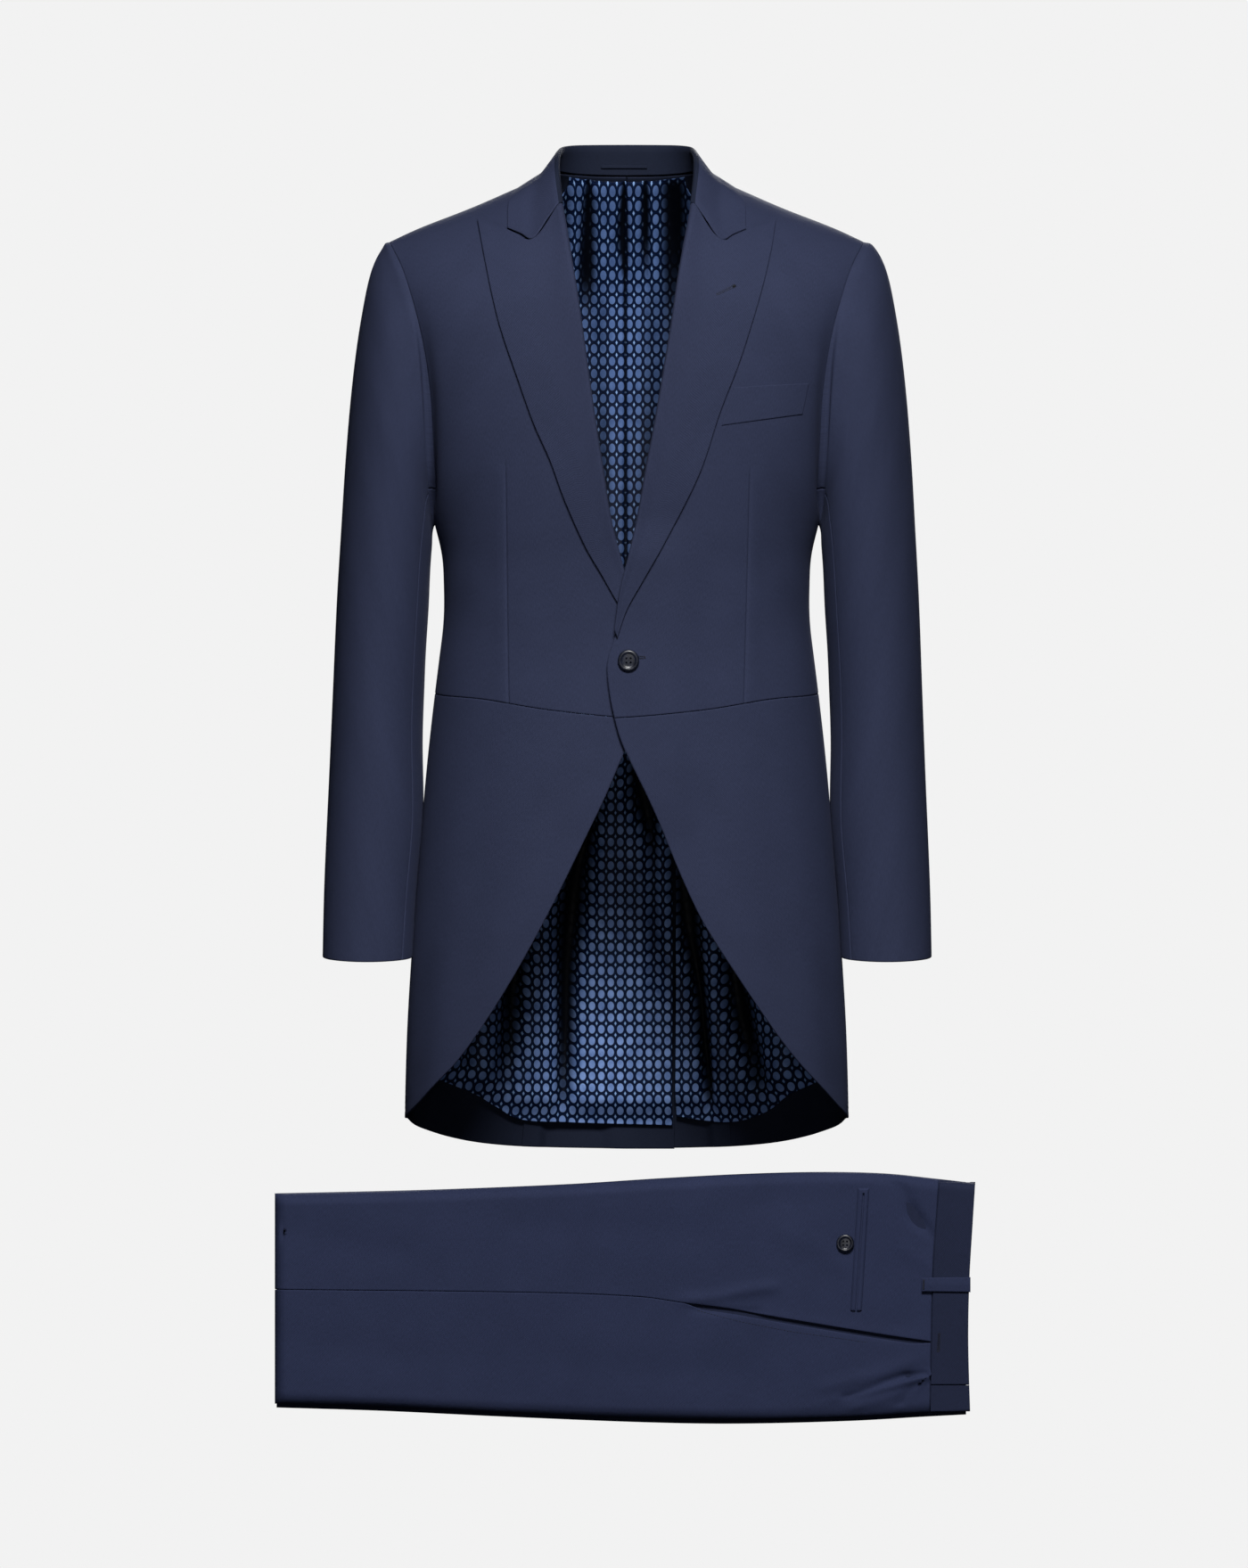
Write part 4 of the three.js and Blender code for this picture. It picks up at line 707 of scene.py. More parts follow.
def collar_sections():
    """The points of each section of the collar, from centre back to the gorge"""
    sections = []
    for i in range(len(collar_rows["neckX"])):
        row = {name: float(values[i]) for name, values in collar_rows.items()}
        fold = np.array([row["foldX"], row["foldY"], row["foldZ"] - COLLAR_CREST])
        away = unit(np.array([row["foldX"], row["foldY"], 0.0]))
        leaf = np.array([row["leafX"], 0.0, row["leafZ"] + LEAF_LIFT_AT_RIDGE])
        if row["foldY"] != 0:
            turn = angle_of(row["leafX"], row["leafZ"], row["foldY"] > 0)
            height = COLLAR_EDGE_HEIGHT - RIDGE_SINK * bump(row["foldY"], RIDGE_SINK_WIDTH)
            leaf = lifted(turn, row["leafZ"], height)
        turned = fold + away * COLLAR_FOLD_WIDTH
        out = mix(KNEE_OUT, KNEE_HOLLOW, smooth(*KNEE_FADE_Y, row["foldY"]))
        knee = mix(turned, leaf, KNEE_SHARE) + away * out
        neck = np.array([row["neckX"], row["neckY"], row["neckZ"]])
        sections.append([neck, fold, turned, np.array([0, 0, COLLAR_CREST]), knee, leaf])

    def on(x, z, lift):
        return lifted(angle_of(x, z), z, lift)

    on_roll = [on(ROLL_X + x, ROLL_Z + z, height) for x, z, height in gorge_section.values()]
    neck, fold, turned, crest = on_roll
    crest = crest - mix(fold, turned, 0.5)
    knee = on(KNEE_X, KNEE_Z, KNEE_HEIGHT)
    leaf = on(LEAF_X, LEAF_Z, COLLAR_EDGE_HEIGHT)
    sections.append([neck, fold, turned, crest, knee, leaf])
    return np.array(sections)


collar_points = collar_sections()


def collar_grid(u, v):
    """Points of the collar: u from the neck seam over the fold to the leaf's edge, v from side to side"""
    place = np.abs(v * 2 - 1) * (len(collar_points) - 1)
    keys = np.arange(len(collar_points), dtype=float)

    def along_neck(part):
        axes = [{"place": keys, "value": part[:, axis]} for axis in range(3)]
        return np.stack([read(axis, "place", "value", place) for axis in axes], -1)

    parts = [along_neck(collar_points[:, part]) for part in range(collar_points.shape[1])]
    neck, fold, turned, crest, knee, leaf = parts
    path = [neck, mix(neck, fold, 0.5), mix(neck, fold, 0.88), mix(fold, turned, 0.5) + crest]
    path += [mix(turned, knee, 0.1), mix(turned, knee, 0.45), knee, mix(knee, leaf, 0.5), leaf]
    return np.stack(path)


def along(path, share):
    """A smooth curve through the points of a path, read at shares of its point count"""
    last = len(path) - 1
    spot = np.clip(share, 0, 1) * last
    low = np.clip(np.floor(spot).astype(int), 0, last - 1)
    t = (spot - low)[..., None]

    def pick(step):
        return np.take_along_axis(path, np.clip(low + step, 0, last)[None, ..., None], 0)[0]

    before, start, end, after = pick(-1), pick(0), pick(1), pick(2)
    slope, next_slope = (end - before) / 2, (after - start) / 2
    weight = (1 + 2 * t) * (1 - t) ** 2
    return weight * start + (1 - weight) * end + t * (1 - t) ** 2 * slope + t * t * (t - 1) * next_slope


def collar():
    across, down = spread(56, length=85), spread(170, length=420, edges=(0.4, 1, 2))
    u, v = np.meshgrid(across, down)
    points = along(collar_grid(u, v), u)
    points[..., 0] *= np.where(v < 0.5, -1, 1)
    tucked = smooth(0.985, 1, v) * smooth(0.3, 0.5, u)
    points += tucked[..., None] * GORGE_TUCK
    return points, None


# The linings hang inside the coat, further in where they billow between their folds
LINING_TOP_DROP = 1.8
LINING_UPPER_END_Z = -470
LINING_TAIL_Z = (-473.0, -880.0)
INSIDE_SIDE = 0.985
LINING_LEAST_IN, LINING_IN = 3.3, 3.4
LINING_NECK_X, LINING_MOST_X = 56, 176
LINING_SIDE_TURN = 112
LINING_ROUNDS = 8
# Shares of painted shade on the satin: in the folds, and where it turns away from the light
FOLD_DIM = 0.8
UPPER_SIDE_DIM, UPPER_TOP_DIM, UPPER_LOW_DIM = 0.28, 0.10, 0.40
TAIL_TOP_DIM, TAIL_SIDE_DIM = 0.15, 0.1
lining_tail_set = {"left": 7.8, "right": 9.5}
lining_past_vent = {"left": 2, "right": -1.2}
LINING_LEAST_X = 0.4
TAIL_BILLOW = (1.5, 15)


def lining_upper(side):
    across, down = spread(82, length=130), spread(104, length=470)
    u, v = np.meshgrid(across, down)
    z = mix(neck_z(mix(0, NECK_X, u)) - LINING_TOP_DROP, LINING_UPPER_END_Z, v**1.1)
    half = np.minimum(read(torso, "z", "half", z) * INSIDE_SIDE, LINING_MOST_X)
    at_side = np.maximum(LINING_SIDE_TURN, angle_of(half, z, True))
    outer = mix(angle_of(LINING_NECK_X, z, True), at_side, smooth(0, 0.3, v))
    angle = mix(angle_of(SEAM_GAP, z, True), outer, u)
    x = body_point(angle, z)[..., 0] * SIGN[side]
    depth = fold_depth(lining_folds_upper, x, z)
    inset = LINING_IN + np.maximum(0, 1 - depth) * read(upper_billow, "z", "out", z)
    points = lifted(angle, z, -np.maximum(LINING_LEAST_IN, inset))
    # Painted shade: the satin is darker at its sides and towards the bottom
    beside = smooth(11, 20, np.abs(x + 1)) * smooth(-70, -120, z)
    dim = UPPER_SIDE_DIM * beside + mix(UPPER_TOP_DIM, UPPER_LOW_DIM, smooth(-150, -330, z))
    return mirrored(side, points), np.maximum(FOLD_DIM * depth, dim), x, z


def lining_tail(side):
    across, down = spread(122, length=260), spread(100, length=410)
    u, v = np.meshgrid(across, down)
    z = mix(*LINING_TAIL_Z, v)
    for _ in range(LINING_ROUNDS):
        lap = read(vent_lap, "z", "x", z) + lining_past_vent[side]
        start = angle_of(np.maximum(LINING_LEAST_X, lap), z, True)
        if side == "right":
            start = 360 - start
        angle = mix(start, angle_of(read(torso, "z", "half", z) * INSIDE_SIDE, z, True), u)
        z = mix(LINING_TAIL_Z[0], read(lining_hem[side], "x", "z", body_point(angle, z)[..., 0]), v)
    x = body_point(angle, z)[..., 0] * SIGN[side]
    depth = fold_depth(lining_folds_tail, x, z)
    near_hem = smooth(0, 26, z - read(lining_hem[side], "x", "z", x * SIGN[side]))
    out = mix(*TAIL_BILLOW, near_hem) * smooth(LINING_TAIL_Z[0], -540, z)
    inset = lining_tail_set[side] + np.maximum(0, 1 - depth) * out
    points = lifted(angle, z, -inset)
    # Painted shade: darker in the folds above the hem, at the top of the tail and at its sides
    dim = TAIL_TOP_DIM * smooth(-620, -560, z) + TAIL_SIDE_DIM * smooth(90, 150, np.abs(x - 8))
    return mirrored(side, points), np.maximum(FOLD_DIM * depth * near_hem, dim), x, z


lining_hem = {
    "left": table("x z", (46, -876.5), (88, -882), (112, -880), (136, -871), (157, -856), (200, -838)),
    "right": table("x z", (-44, -885), (63, -882), (104, -879), (125, -868), (146, -856), (200, -836)),
}
upper_billow = table("z out", (0, 1), (-8, 5), (-60, 8), (-200, 7), (-470, 5))

# Folds of the lining: where the middle of each lies, how wide it is and how deep, from top to bottom
FOLD = "z x width depth"
lining_folds_upper = [
    table(
        FOLD, (0, -37, 3, 0.8), (-20, -37, 6, 1), (-48, -37.5, 8, 1), (-91, -38, 10, 1), (-115, -38, 10, 0.7),
        (-140, -36, 10, 0.45), (-240, -30, 10, 0.35),
    ),
    table(
        FOLD, (0, -3, 1.5, 0.7), (-15, -3, 3, 1), (-48, -4.3, 5.5, 1), (-62, -4, 5.5, 1), (-80, -2.5, 3, 1),
        (-100, -1.7, 1.3, 1), (-380, -1.3, 1.2, 0.9),
    ),
    table(
        FOLD, (0, 17.5, 2.5, 0.8), (-15, 17.8, 4, 1), (-55, 17.8, 4.5, 1), (-80, 18, 4.5, 0.7),
        (-105, 18, 4.5, 0.25), (-130, 18, 4, 0),
    ),
    table(
        FOLD, (0, 46, 14, 0.6), (-8, 46, 15, 1), (-60, 46, 15, 1), (-100, 44, 14, 0.85), (-140, 40, 13, 0.6),
        (-300, 36, 10, 0.5),
    ),
    table(FOLD, (0, -60, 3, 0.4), (-60, -60, 5, 0.8), (-200, -54, 7, 0.8), (-400, -44, 6, 0.4)),
    table(FOLD, (-150, -88, 8, 0.6), (-300, -92, 9, 0.7), (-470, -96, 10, 0.7)),
    table(FOLD, (-150, 92, 8, 0.6), (-300, 96, 9, 0.7), (-470, 100, 10, 0.7)),
]
lining_folds_tail = [
    table(
        FOLD, (-480, -20, 5, 0.5), (-560, -27, 7, 0.8), (-608, -36, 8, 1), (-640, -46, 14, 1),
        (-690, -54, 16, 1), (-740, -58, 12, 1), (-800, -59, 9.5, 1), (-850, -61, 8.5, 0.75),
        (-876, -62, 7, 0.5),
    ),
    table(
        FOLD, (-480, -60, 5, 0.5), (-640, -88, 9, 1), (-750, -110, 12, 1), (-813, -116, 12, 0.7),
        (-870, -122, 9, 0.2),
    ),
    table(
        FOLD, (-480, 10, 12, 0.9), (-545, 12, 12, 1), (-581, 17, 15, 1), (-611, 23, 8, 0.9),
        (-640, 26, 6, 0.5), (-752, 27, 6, 0.33), (-785, 27, 7, 0),
    ),
    table(
        FOLD, (-480, 40, 8, 0.7), (-600, 48, 9, 0.8), (-640, 52, 12, 0.9), (-681, 58, 15, 1),
        (-711, 62, 12, 1), (-731, 66, 9.5, 1), (-769, 71.5, 7, 1), (-831, 77.5, 5.5, 1),
        (-872, 81, 4.5, 0.7),
    ),
    table(
        FOLD, (-480, 76, 8, 0.5), (-680, 98, 12, 1), (-743, 105, 13, 1), (-791, 114, 14, 1),
        (-830, 125, 12, 0.8), (-866, 134, 10, 0.3),
    ),
    table(FOLD, (-480, -110, 8, 0.5), (-680, -146, 11, 0.8), (-860, -160, 11, 0.3)),
    table(FOLD, (-480, 128, 8, 0.5), (-680, 152, 11, 0.8), (-860, 170, 11, 0.3)),
]


FOLD_POWER = 2.6


def fold_depth(folds, x, z):
    """How far in a fold a place of the lining lies: 0 on the billows, 1 at the bottom of a fold"""
    depth = np.zeros_like(x)
    for fold in folds:
        away = np.abs(x - read(fold, "z", "x", z)) / read(fold, "z", "width", z)
        depth = np.maximum(depth, read(fold, "z", "depth", z) * np.exp(-(away**FOLD_POWER)))
    return depth


# The trousers, folded across at the knee with the waist to the right
trouser_top = table(
    "x z",
    (-331, -947.5), (-183, -944), (-58, -939), (38, -933), (117, -929), (186, -927.5), (242, -929),
    (290, -934), (325, -938),
)
trouser_bottom = table(
    "x z",
    (-331, -1147.2), (-229, -1150.4), (-115, -1155.8), (14, -1161), (100, -1162.4), (208, -1159.8),
    (282, -1155.6), (325, -1153.4),
)
outseam = table(
    "x z",
    (-331, -1037), (-81, -1040), (14, -1044), (56, -1050), (95, -1055), (140, -1063), (231, -1078),
    (291, -1087),
)
waistband_seam = table("z x", (-930, 291), (-972, 288), (-1006, 285.5), (-1052, 284), (-1160, 282))
waistband_top = table("z x", (-930, 325), (-977, 322), (-1029, 319), (-1086, 318), (-1160, 320))
trouser_height = table("x y", (-331, 15), (60, 15), (150, 12.5), (240, 10.5), (325, 9.5))
TROUSER_ROUND = 12
LOWER_LAYER_SHOWS = 3.6
LOWER_EDGE_HEIGHT = 0.36
FOLD_LEFT_X = -328
BAND_SPLIT_Z = -1126


def rounded_edge(distance):
    share = np.clip(distance / TROUSER_ROUND, 0, 1)
    return np.sqrt(1 - (1 - share) ** 2)


def top_edge(x):
    return read(trouser_top, "x", "z", x)


def bottom_edge(x):
    return read(trouser_bottom, "x", "z", x) + LOWER_LAYER_SHOWS


def trouser_face(x, z):
    upper = rounded_edge(top_edge(x) - z)
    lower = mix(LOWER_EDGE_HEIGHT, 1, rounded_edge(z - bottom_edge(x)))
    end = rounded_edge(x - FOLD_LEFT_X)
    return -read(trouser_height, "x", "y", x) * np.minimum(upper, lower) * end


# The pleats: a far and a near end, height, width, and where the step starts and is full
pleats = (
    (195, -1139, 279, -1118, 2.6, 4.5, 150, 275),
    (250, -1149, 278, -1121, 2.2, 4.0, 245, 268),
)


def pleat_step(x, z):
    step = 0 * x
    for far_x, far_z, near_x, near_z, height, width, start, full in pleats:
        crest = mix(far_z, near_z, (x - far_x) / (near_x - far_x))
        step = step - height * smooth(start, full, x) * bump(z - crest, width)
    return step


# Soft creases of the trousers: a line from one place to another, its depth and its width
trouser_creases = (
    (252, -938, 270, -972, 1.5, 6.5), (268, -966, 288, -994, 1.2, 5.5), (262, -1000, 284, -1020, -0.6, 8),
    (205, -1136, 262, -1117, 1.5, 3.6), (262, -1117, 281, -1115.5, 1.2, 2.6),
    (256, -1142, 280, -1119, 1.3, 3.0), (190, -1128, 262, -1106, -0.8, 7),
    (215, -1146, 252, -1133, -0.7, 5), (60, -1046, 132, -1036, -1.2, 6), (66, -1056, 120, -1058, 0.7, 4),
    (150, -985, 196, -1010, -0.5, 12), (-320, -985, -220, -1000, 0.5, 16),
    (-300, -1090, -160, -1100, 0.5, 18), (-90, -975, 60, -985, 0.5, 17), (-60, -1105, 90, -1118, 0.6, 18),
    (120, -960, 200, -950, 0.4, 12), (286, -1060, 290, -1120, 0.4, 4),
)


# A crease bends a little along its line: how far, as a share of its width, and how often
CREASE_BEND, CREASE_TURNS = 0.18, 5
CREASE_END = 1.6


def crease_relief(creases, x, z):
    relief = 0 * x
    for x1, z1, x2, z2, depth, width in creases:
        length = math.hypot(x2 - x1, z2 - z1)
        along_line = ((x - x1) * (x2 - x1) + (z - z1) * (z2 - z1)) / length
        from_line = ((x - x1) * (z2 - z1) - (z - z1) * (x2 - x1)) / length
        beyond = np.maximum(0, np.maximum(-along_line, along_line - length))
        bend = CREASE_BEND * width * np.sin(along_line / length * CREASE_TURNS + x1)
        relief = relief - depth * bump(from_line + bend, width) * bump(beyond, width * CREASE_END)
    return relief


CREASE_STRENGTH = 1.7
POCKET_OPENING = 4.0
POCKET_START, POCKET_END = (52, 74), (291, 262)
# Beside the pocket's slit the upper panel swells and the lower one sinks: by how much, and how wide
UPPER_SWELL, UPPER_SWELL_WIDTH = 0.9, 7
LOWER_SINK, LOWER_SINK_WIDTH = 1.1, 5
CLOTH_UNREST = 0.35
TROUSER_ROUNDS = 6


def trouser_panel(part):
    upper = part == "back"
    columns = spread(196, edges=(0.4, 1, 2, 3.5, 6, 9), length=610)
    u, v = np.meshgrid(columns, spread(70, edges=(0.35, 0.9, 1.8, 3.2, 5, 8), length=110))

    def top(x):
        if upper:
            return top_edge(x)
        slit = POCKET_OPENING * smooth(*POCKET_START, x) * smooth(*POCKET_END, x)
        return read(outseam, "x", "z", x) - HALF_GAP - slit

    def bottom(x):
        return read(outseam, "x", "z", x) + HALF_GAP if upper else bottom_edge(x)

    x = mix(FOLD_LEFT_X, waistband_seam["x"][0], u)
    z = mix(top(x), bottom(x), v)
    for _ in range(TROUSER_ROUNDS):
        x = mix(FOLD_LEFT_X, read(waistband_seam, "z", "x", z) - HALF_GAP, u)
        z = mix(top(x), bottom(x), v)
    y = trouser_face(x, z)
    inside = smooth(0, 12, top_edge(x) - z) * smooth(0, 9, z - bottom_edge(x))
    inside = inside * smooth(0, 8, x - FOLD_LEFT_X)
    relief = CREASE_STRENGTH * crease_relief(trouser_creases, x, z) * inside
    seam = read(outseam, "x", "z", x)
    pocket = smooth(50, 90, x) * smooth(291, 250, x)
    if upper:
        relief = relief + UPPER_SWELL * pocket * bump(z - seam, UPPER_SWELL_WIDTH)
    else:
        y = y + pleat_step(x, z)
        relief = relief - LOWER_SINK * pocket * bump(z - seam, LOWER_SINK_WIDTH)
    relief = relief + CLOTH_UNREST * inside * np.sin(x / 43 + z / 31)
    return np.stack([x, y, z], -1), relief


waistband_creases = ((311, -1060, 318, -1088, 0.7, 1.6), (291, -1078, 290, -1096, 0.5, 0.8))


BAND_TOP_STEEP, BAND_LOW_STEEP = 1.5, 2


def waistband(start_z, end_z, lift):
    u, v = np.meshgrid(spread(30, length=36), spread(80, length=abs(end_z - start_z)))
    z = mix(start_z, end_z, v)
    seam = read(waistband_seam, "z", "x", z) + HALF_GAP + SEAM_GAP
    x = mix(seam, read(waistband_top, "z", "x", z), u)
    bottom = read(trouser_bottom, "x", "z", x)
    round_top = rounded_edge((top_edge(x) - z) * BAND_TOP_STEEP)
    round_bottom = rounded_edge((z - bottom) * BAND_LOW_STEEP)
    y = -(read(trouser_height, "x", "y", x) + lift) * np.minimum(round_top, round_bottom)
    return np.stack([x, y, z], -1), crease_relief(waistband_creases, x, z)


def laid_on(x, z, lift):
    return np.stack([x, trouser_face(x, z) - lift, z], -1)


def between(top, bottom, u, v):
    """Places on a patch whose top and bottom edge are given by their two ends"""
    return [mix(mix(top[0][k], top[1][k], u), mix(bottom[0][k], bottom[1][k], u), v) for k in (0, 1)]


# Materials
class Nodes:
    """Short calls that make the nodes of a tree and join them"""

    def __init__(self, tree):
        self.tree = tree

    def node(self, kind, inputs=(), **settings):
        new_node = self.tree.nodes.new(kind)
        for key, value in settings.items():
            setattr(new_node, key, value)
        for place, value in dict(inputs).items():
            self.feed(new_node.inputs[place], value)
        return new_node

    def feed(self, socket, value):
        if isinstance(value, bpy.types.NodeSocket):
            self.tree.links.new(value, socket)
        else:
            socket.default_value = value

    def math(self, operation, *values):
        return self.node("ShaderNodeMath", dict(enumerate(values)), operation=operation).outputs[0]


class Finish(Nodes):
    """A material with its shader, and the nodes that most cloth needs"""

    def __init__(self, name):
        self.material = bpy.data.materials.new(name)
        self.material.use_nodes = True
        super().__init__(self.material.node_tree)
        self.shader = self.tree.nodes["Principled BSDF"]

    def ramp(self, value, start, end, low=0.0, high=1.0):
        inputs = {"Value": value, "From Min": start, "From Max": end, "To Min": low, "To Max": high}
        return self.node("ShaderNodeMapRange", inputs, interpolation_type="SMOOTHSTEP").outputs[0]

    def blend(self, share, first, second):
        return self.node("ShaderNodeMix", {0: share, 6: first, 7: second}, data_type="RGBA").outputs[2]

    def noise(self, vector, scale, detail, roughness=0.5):
        inputs = {"Vector": vector, "Scale": scale, "Detail": detail, "Roughness": roughness}
        return self.node("ShaderNodeTexNoise", inputs).outputs[0]

    def stretched(self, vector, scale):
        return self.node("ShaderNodeMapping", {0: vector, 3: scale}).outputs[0]

    def cloth_place(self):
        """The place on the cloth in metres: the whole vector, across and down"""
        place = self.node("ShaderNodeUVMap", uv_map="cloth").outputs[0]
        split = self.node("ShaderNodeSeparateXYZ", {0: place}).outputs
        return place, split[0], split[1]

    def object_place(self):
        return self.node("ShaderNodeTexCoord").outputs["Object"]

    def ribbed(self, place, pitch):
        return self.math("SINE", self.math("MULTIPLY", place, 2 * math.pi / pitch))

    def set(self, **values):
        for name, value in values.items():
            self.feed(self.shader.inputs[name.replace("_", " ")], value)

    def relief(self, height, distance, strength):
        inputs = {"Height": height, "Distance": distance, "Strength": strength}
        self.set(Normal=self.node("ShaderNodeBump", inputs).outputs[0])


def colour(red, green, blue):
    """A colour given as it looks on a screen, from 0 to 255"""
    parts = [c / 255 for c in (red, green, blue)]
    return [c / 12.92 if c <= 0.04045 else ((c + 0.055) / 1.055) ** 2.4 for c in parts] + [1.0]


# The weave of the wool, in metres, and the relief that weave and satin have
TWILL_PITCH = 0.0011
YARN = 0.00045
WEAVE_HEIGHT = 0.00012
SHEEN_TINT = colour(150, 160, 205)


def wool(name, ground, light, sheen):
    """Fine worsted: steep twill lines of two-ply yarn, with a little colour from fibre to fibre"""
    finish = Finish(name)
    place, across, down = finish.cloth_place()
    slant = finish.math("ADD", finish.math("MULTIPLY", across, 0.87), finish.math("MULTIPLY", down, 0.5))
    weave = finish.math("MULTIPLY_ADD", finish.ribbed(down, YARN), 0.35, finish.ribbed(slant, TWILL_PITCH))
    fibre = finish.noise(finish.stretched(place, (1.0, 0.18, 1.0)), 1500, 3)
    cloud = finish.noise(place, 16, 3, 0.6)
    share = finish.math("MULTIPLY_ADD", weave, 0.10, finish.math("MULTIPLY_ADD", fibre, 0.7, 0.1))
    tone = finish.math("ADD", share, finish.math("MULTIPLY_ADD", cloud, 0.30, -0.15))
    height = finish.math("MULTIPLY_ADD", fibre, 0.8, finish.math("MULTIPLY", weave, 0.5))
    finish.set(
        Base_Color=finish.blend(finish.ramp(tone, 0.0, 1.0), colour(*ground), colour(*light)),
        Roughness=finish.math("MULTIPLY_ADD", fibre, 0.18, 0.72),
        Specular_IOR_Level=0.1, Sheen_Weight=sheen, Sheen_Roughness=0.45, Sheen_Tint=SHEEN_TINT,
    )
    finish.relief(height, WEAVE_HEIGHT, 0.55)
    return finish.material


# One repeat of the lining's pattern in metres, and its parts as shares of the repeat
OVAL_ACROSS = 0.0089
OVAL_DOWN = 0.0112
OVAL_SIZE = (0.355, 0.375)
DOT_SIZE = (0.13, 0.18)
RIB_PITCH = 0.0007
GROUND = colour(12, 27, 58)
RING = colour(6, 13, 33)
DOT = colour(128, 160, 208)
# The near-black of painted shade that the satin turns to in its folds
PAINTED_FOLD_SHADE = colour(4, 6, 13)


def jacquard(name, oval_dark, oval_light):
    """Satin lining with ovals in a grid, a dark ring round each, and a lozenge between four"""
    finish = Finish(name)
    place, across, down = finish.cloth_place()
    repeats = finish.math("DIVIDE", across, OVAL_ACROSS), finish.math("DIVIDE", down, OVAL_DOWN)

    def cell(value, shift):
        inside = finish.math("FRACT", finish.math("ADD", value, shift))
        return finish.math("SUBTRACT", inside, 0.5)

    def squared(value, size):
        return finish.math("POWER", finish.math("DIVIDE", value, size), 2.0)

    def apart(value, size):
        return finish.math("DIVIDE", finish.math("ABSOLUTE", cell(value, 0.5)), size)

    ovals = [squared(cell(value, 0.0), size) for value, size in zip(repeats, OVAL_SIZE)]
    oval = finish.math("SQRT", finish.math("ADD", *ovals))
    dot = finish.math("ADD", *[apart(value, size) for value, size in zip(repeats, DOT_SIZE)])
    in_oval = finish.ramp(oval, 0.90, 1.06, 1.0, 0.0)
    in_ring = finish.ramp(oval, 1.10, 1.46, 1.0, 0.0)
    in_dot = finish.ramp(dot, 0.75, 1.15, 1.0, 0.0)
    thread_tone = finish.noise(finish.stretched(place, (0.3, 1.0, 1.0)), 1800, 2)
    cloud = finish.noise(place, 60, 2)
    light = finish.math("MULTIPLY_ADD", cloud, 0.9, finish.math("MULTIPLY", thread_tone, 0.35))
    oval_colour = finish.blend(finish.ramp(light, 0.3, 0.9), colour(*oval_dark), colour(*oval_light))
    ground = finish.blend(in_dot, finish.blend(in_ring, GROUND, RING), DOT)
    # Painted shade: the mesh's attribute darkens the satin towards near-black in its folds and where it turns
    # away from the light
    painted_shade = finish.node("ShaderNodeAttribute", attribute_name="painted_shade").outputs["Fac"]
    ribs = finish.ribbed(down, RIB_PITCH)
    height = finish.math("MULTIPLY_ADD", in_oval, 1.0, finish.math("MULTIPLY", ribs, 0.25))
    finish.set(
        Base_Color=finish.blend(
            finish.ramp(painted_shade, 0.08, 0.82), finish.blend(in_oval, ground, oval_colour), PAINTED_FOLD_SHADE
        ),
        Roughness=finish.math("MULTIPLY_ADD", in_oval, -0.10, 0.46),
        Specular_IOR_Level=0.05,
    )
    finish.relief(height, WEAVE_HEIGHT, 0.5)
    return finish.material


def horn(name):
    """Dark polished button stock with faint clouds"""
    finish = Finish(name)
    place = finish.object_place()
    cloud = finish.noise(place, 180, 4, 0.6)
    scratches = finish.noise(place, 2200, 2)
    finish.set(
        Base_Color=finish.blend(finish.ramp(cloud, 0.35, 0.75), colour(15, 18, 29), colour(30, 34, 49)),
        Roughness=finish.math("MULTIPLY_ADD", scratches, 0.2, 0.2),
        Specular_IOR_Level=0.5,
    )
    finish.relief(scratches, 0.00003, 0.3)
    return finish.material


THREAD_LIGHTER = 18


def thread(name, shade):
    finish = Finish(name)
    fibre = finish.noise(finish.object_place(), 3500, 2)
    lighter = [min(255, c + THREAD_LIGHTER) for c in shade]
    finish.set(
        Base_Color=finish.blend(finish.ramp(fibre, 0.3, 0.7), colour(*shade), colour(*lighter)),
        Roughness=finish.math("MULTIPLY_ADD", fibre, 0.2, 0.5),
        Specular_IOR_Level=0.3,
    )
    finish.relief(fibre, 0.00005, 0.4)
    return finish.material


def pale(name, shade, glow):
    """The floor's paint, with a light of its own"""
    finish = Finish(name)
    grain = finish.noise(finish.object_place(), 30, 3)
    darker = [c - 3 for c in shade]
    finish.set(
        Base_Color=finish.blend(finish.ramp(grain, 0.3, 0.7), colour(*shade), colour(*darker)),
        Roughness=finish.math("MULTIPLY_ADD", grain, 0.1, 0.85),
        Emission_Color=(1, 1, 1, 1),
        Emission_Strength=glow,
    )
    return finish.material


coat_wool = wool("coat wool", (37, 42, 62), (54, 60, 86), 0.04)
# The coat wool painted darker: painted shade on the insides of the back and skirts and on the collar's stand.
# The hanger loop is in it too
inside_wool_painted_darker = wool("inside wool painted darker", (21, 26, 40), (32, 38, 56), 0.02)
trouser_wool = wool("trouser wool", (34, 40, 63), (51, 58, 88), 0.04)
# A darker copy of the trouser wool: darker on the waistband, and painted shade on the folded layers under the
# panels
darker_trouser_wool = wool("darker trouser wool", (27, 32, 51), (41, 47, 72), 0.03)
satin = jacquard("lining satin", (58, 80, 124), (92, 118, 168))
# The tail's lining is the same satin painted lighter: painted light deep inside the coat
tail_satin_painted_lighter = jacquard("tail lining satin painted lighter", (82, 108, 160), (130, 158, 212))
button_stock = horn("button stock")
dark_thread = thread("dark thread", (16, 20, 36))
buttonhole_twist = thread("buttonhole twist", (30, 35, 54))
# Near-black thread for the painted shadow in the lapel's eyelet
shadow = thread("eyelet", (3, 4, 8))
floor_paint = pale("floor paint", (105, 105, 105), 0.72)


# Making the pieces
made = {}


def finished(piece, nodes, slot, *materials):
    for material in materials:
        piece.data.materials.append(material)
    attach(piece, "root")
    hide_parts(*nodes)
    return piece


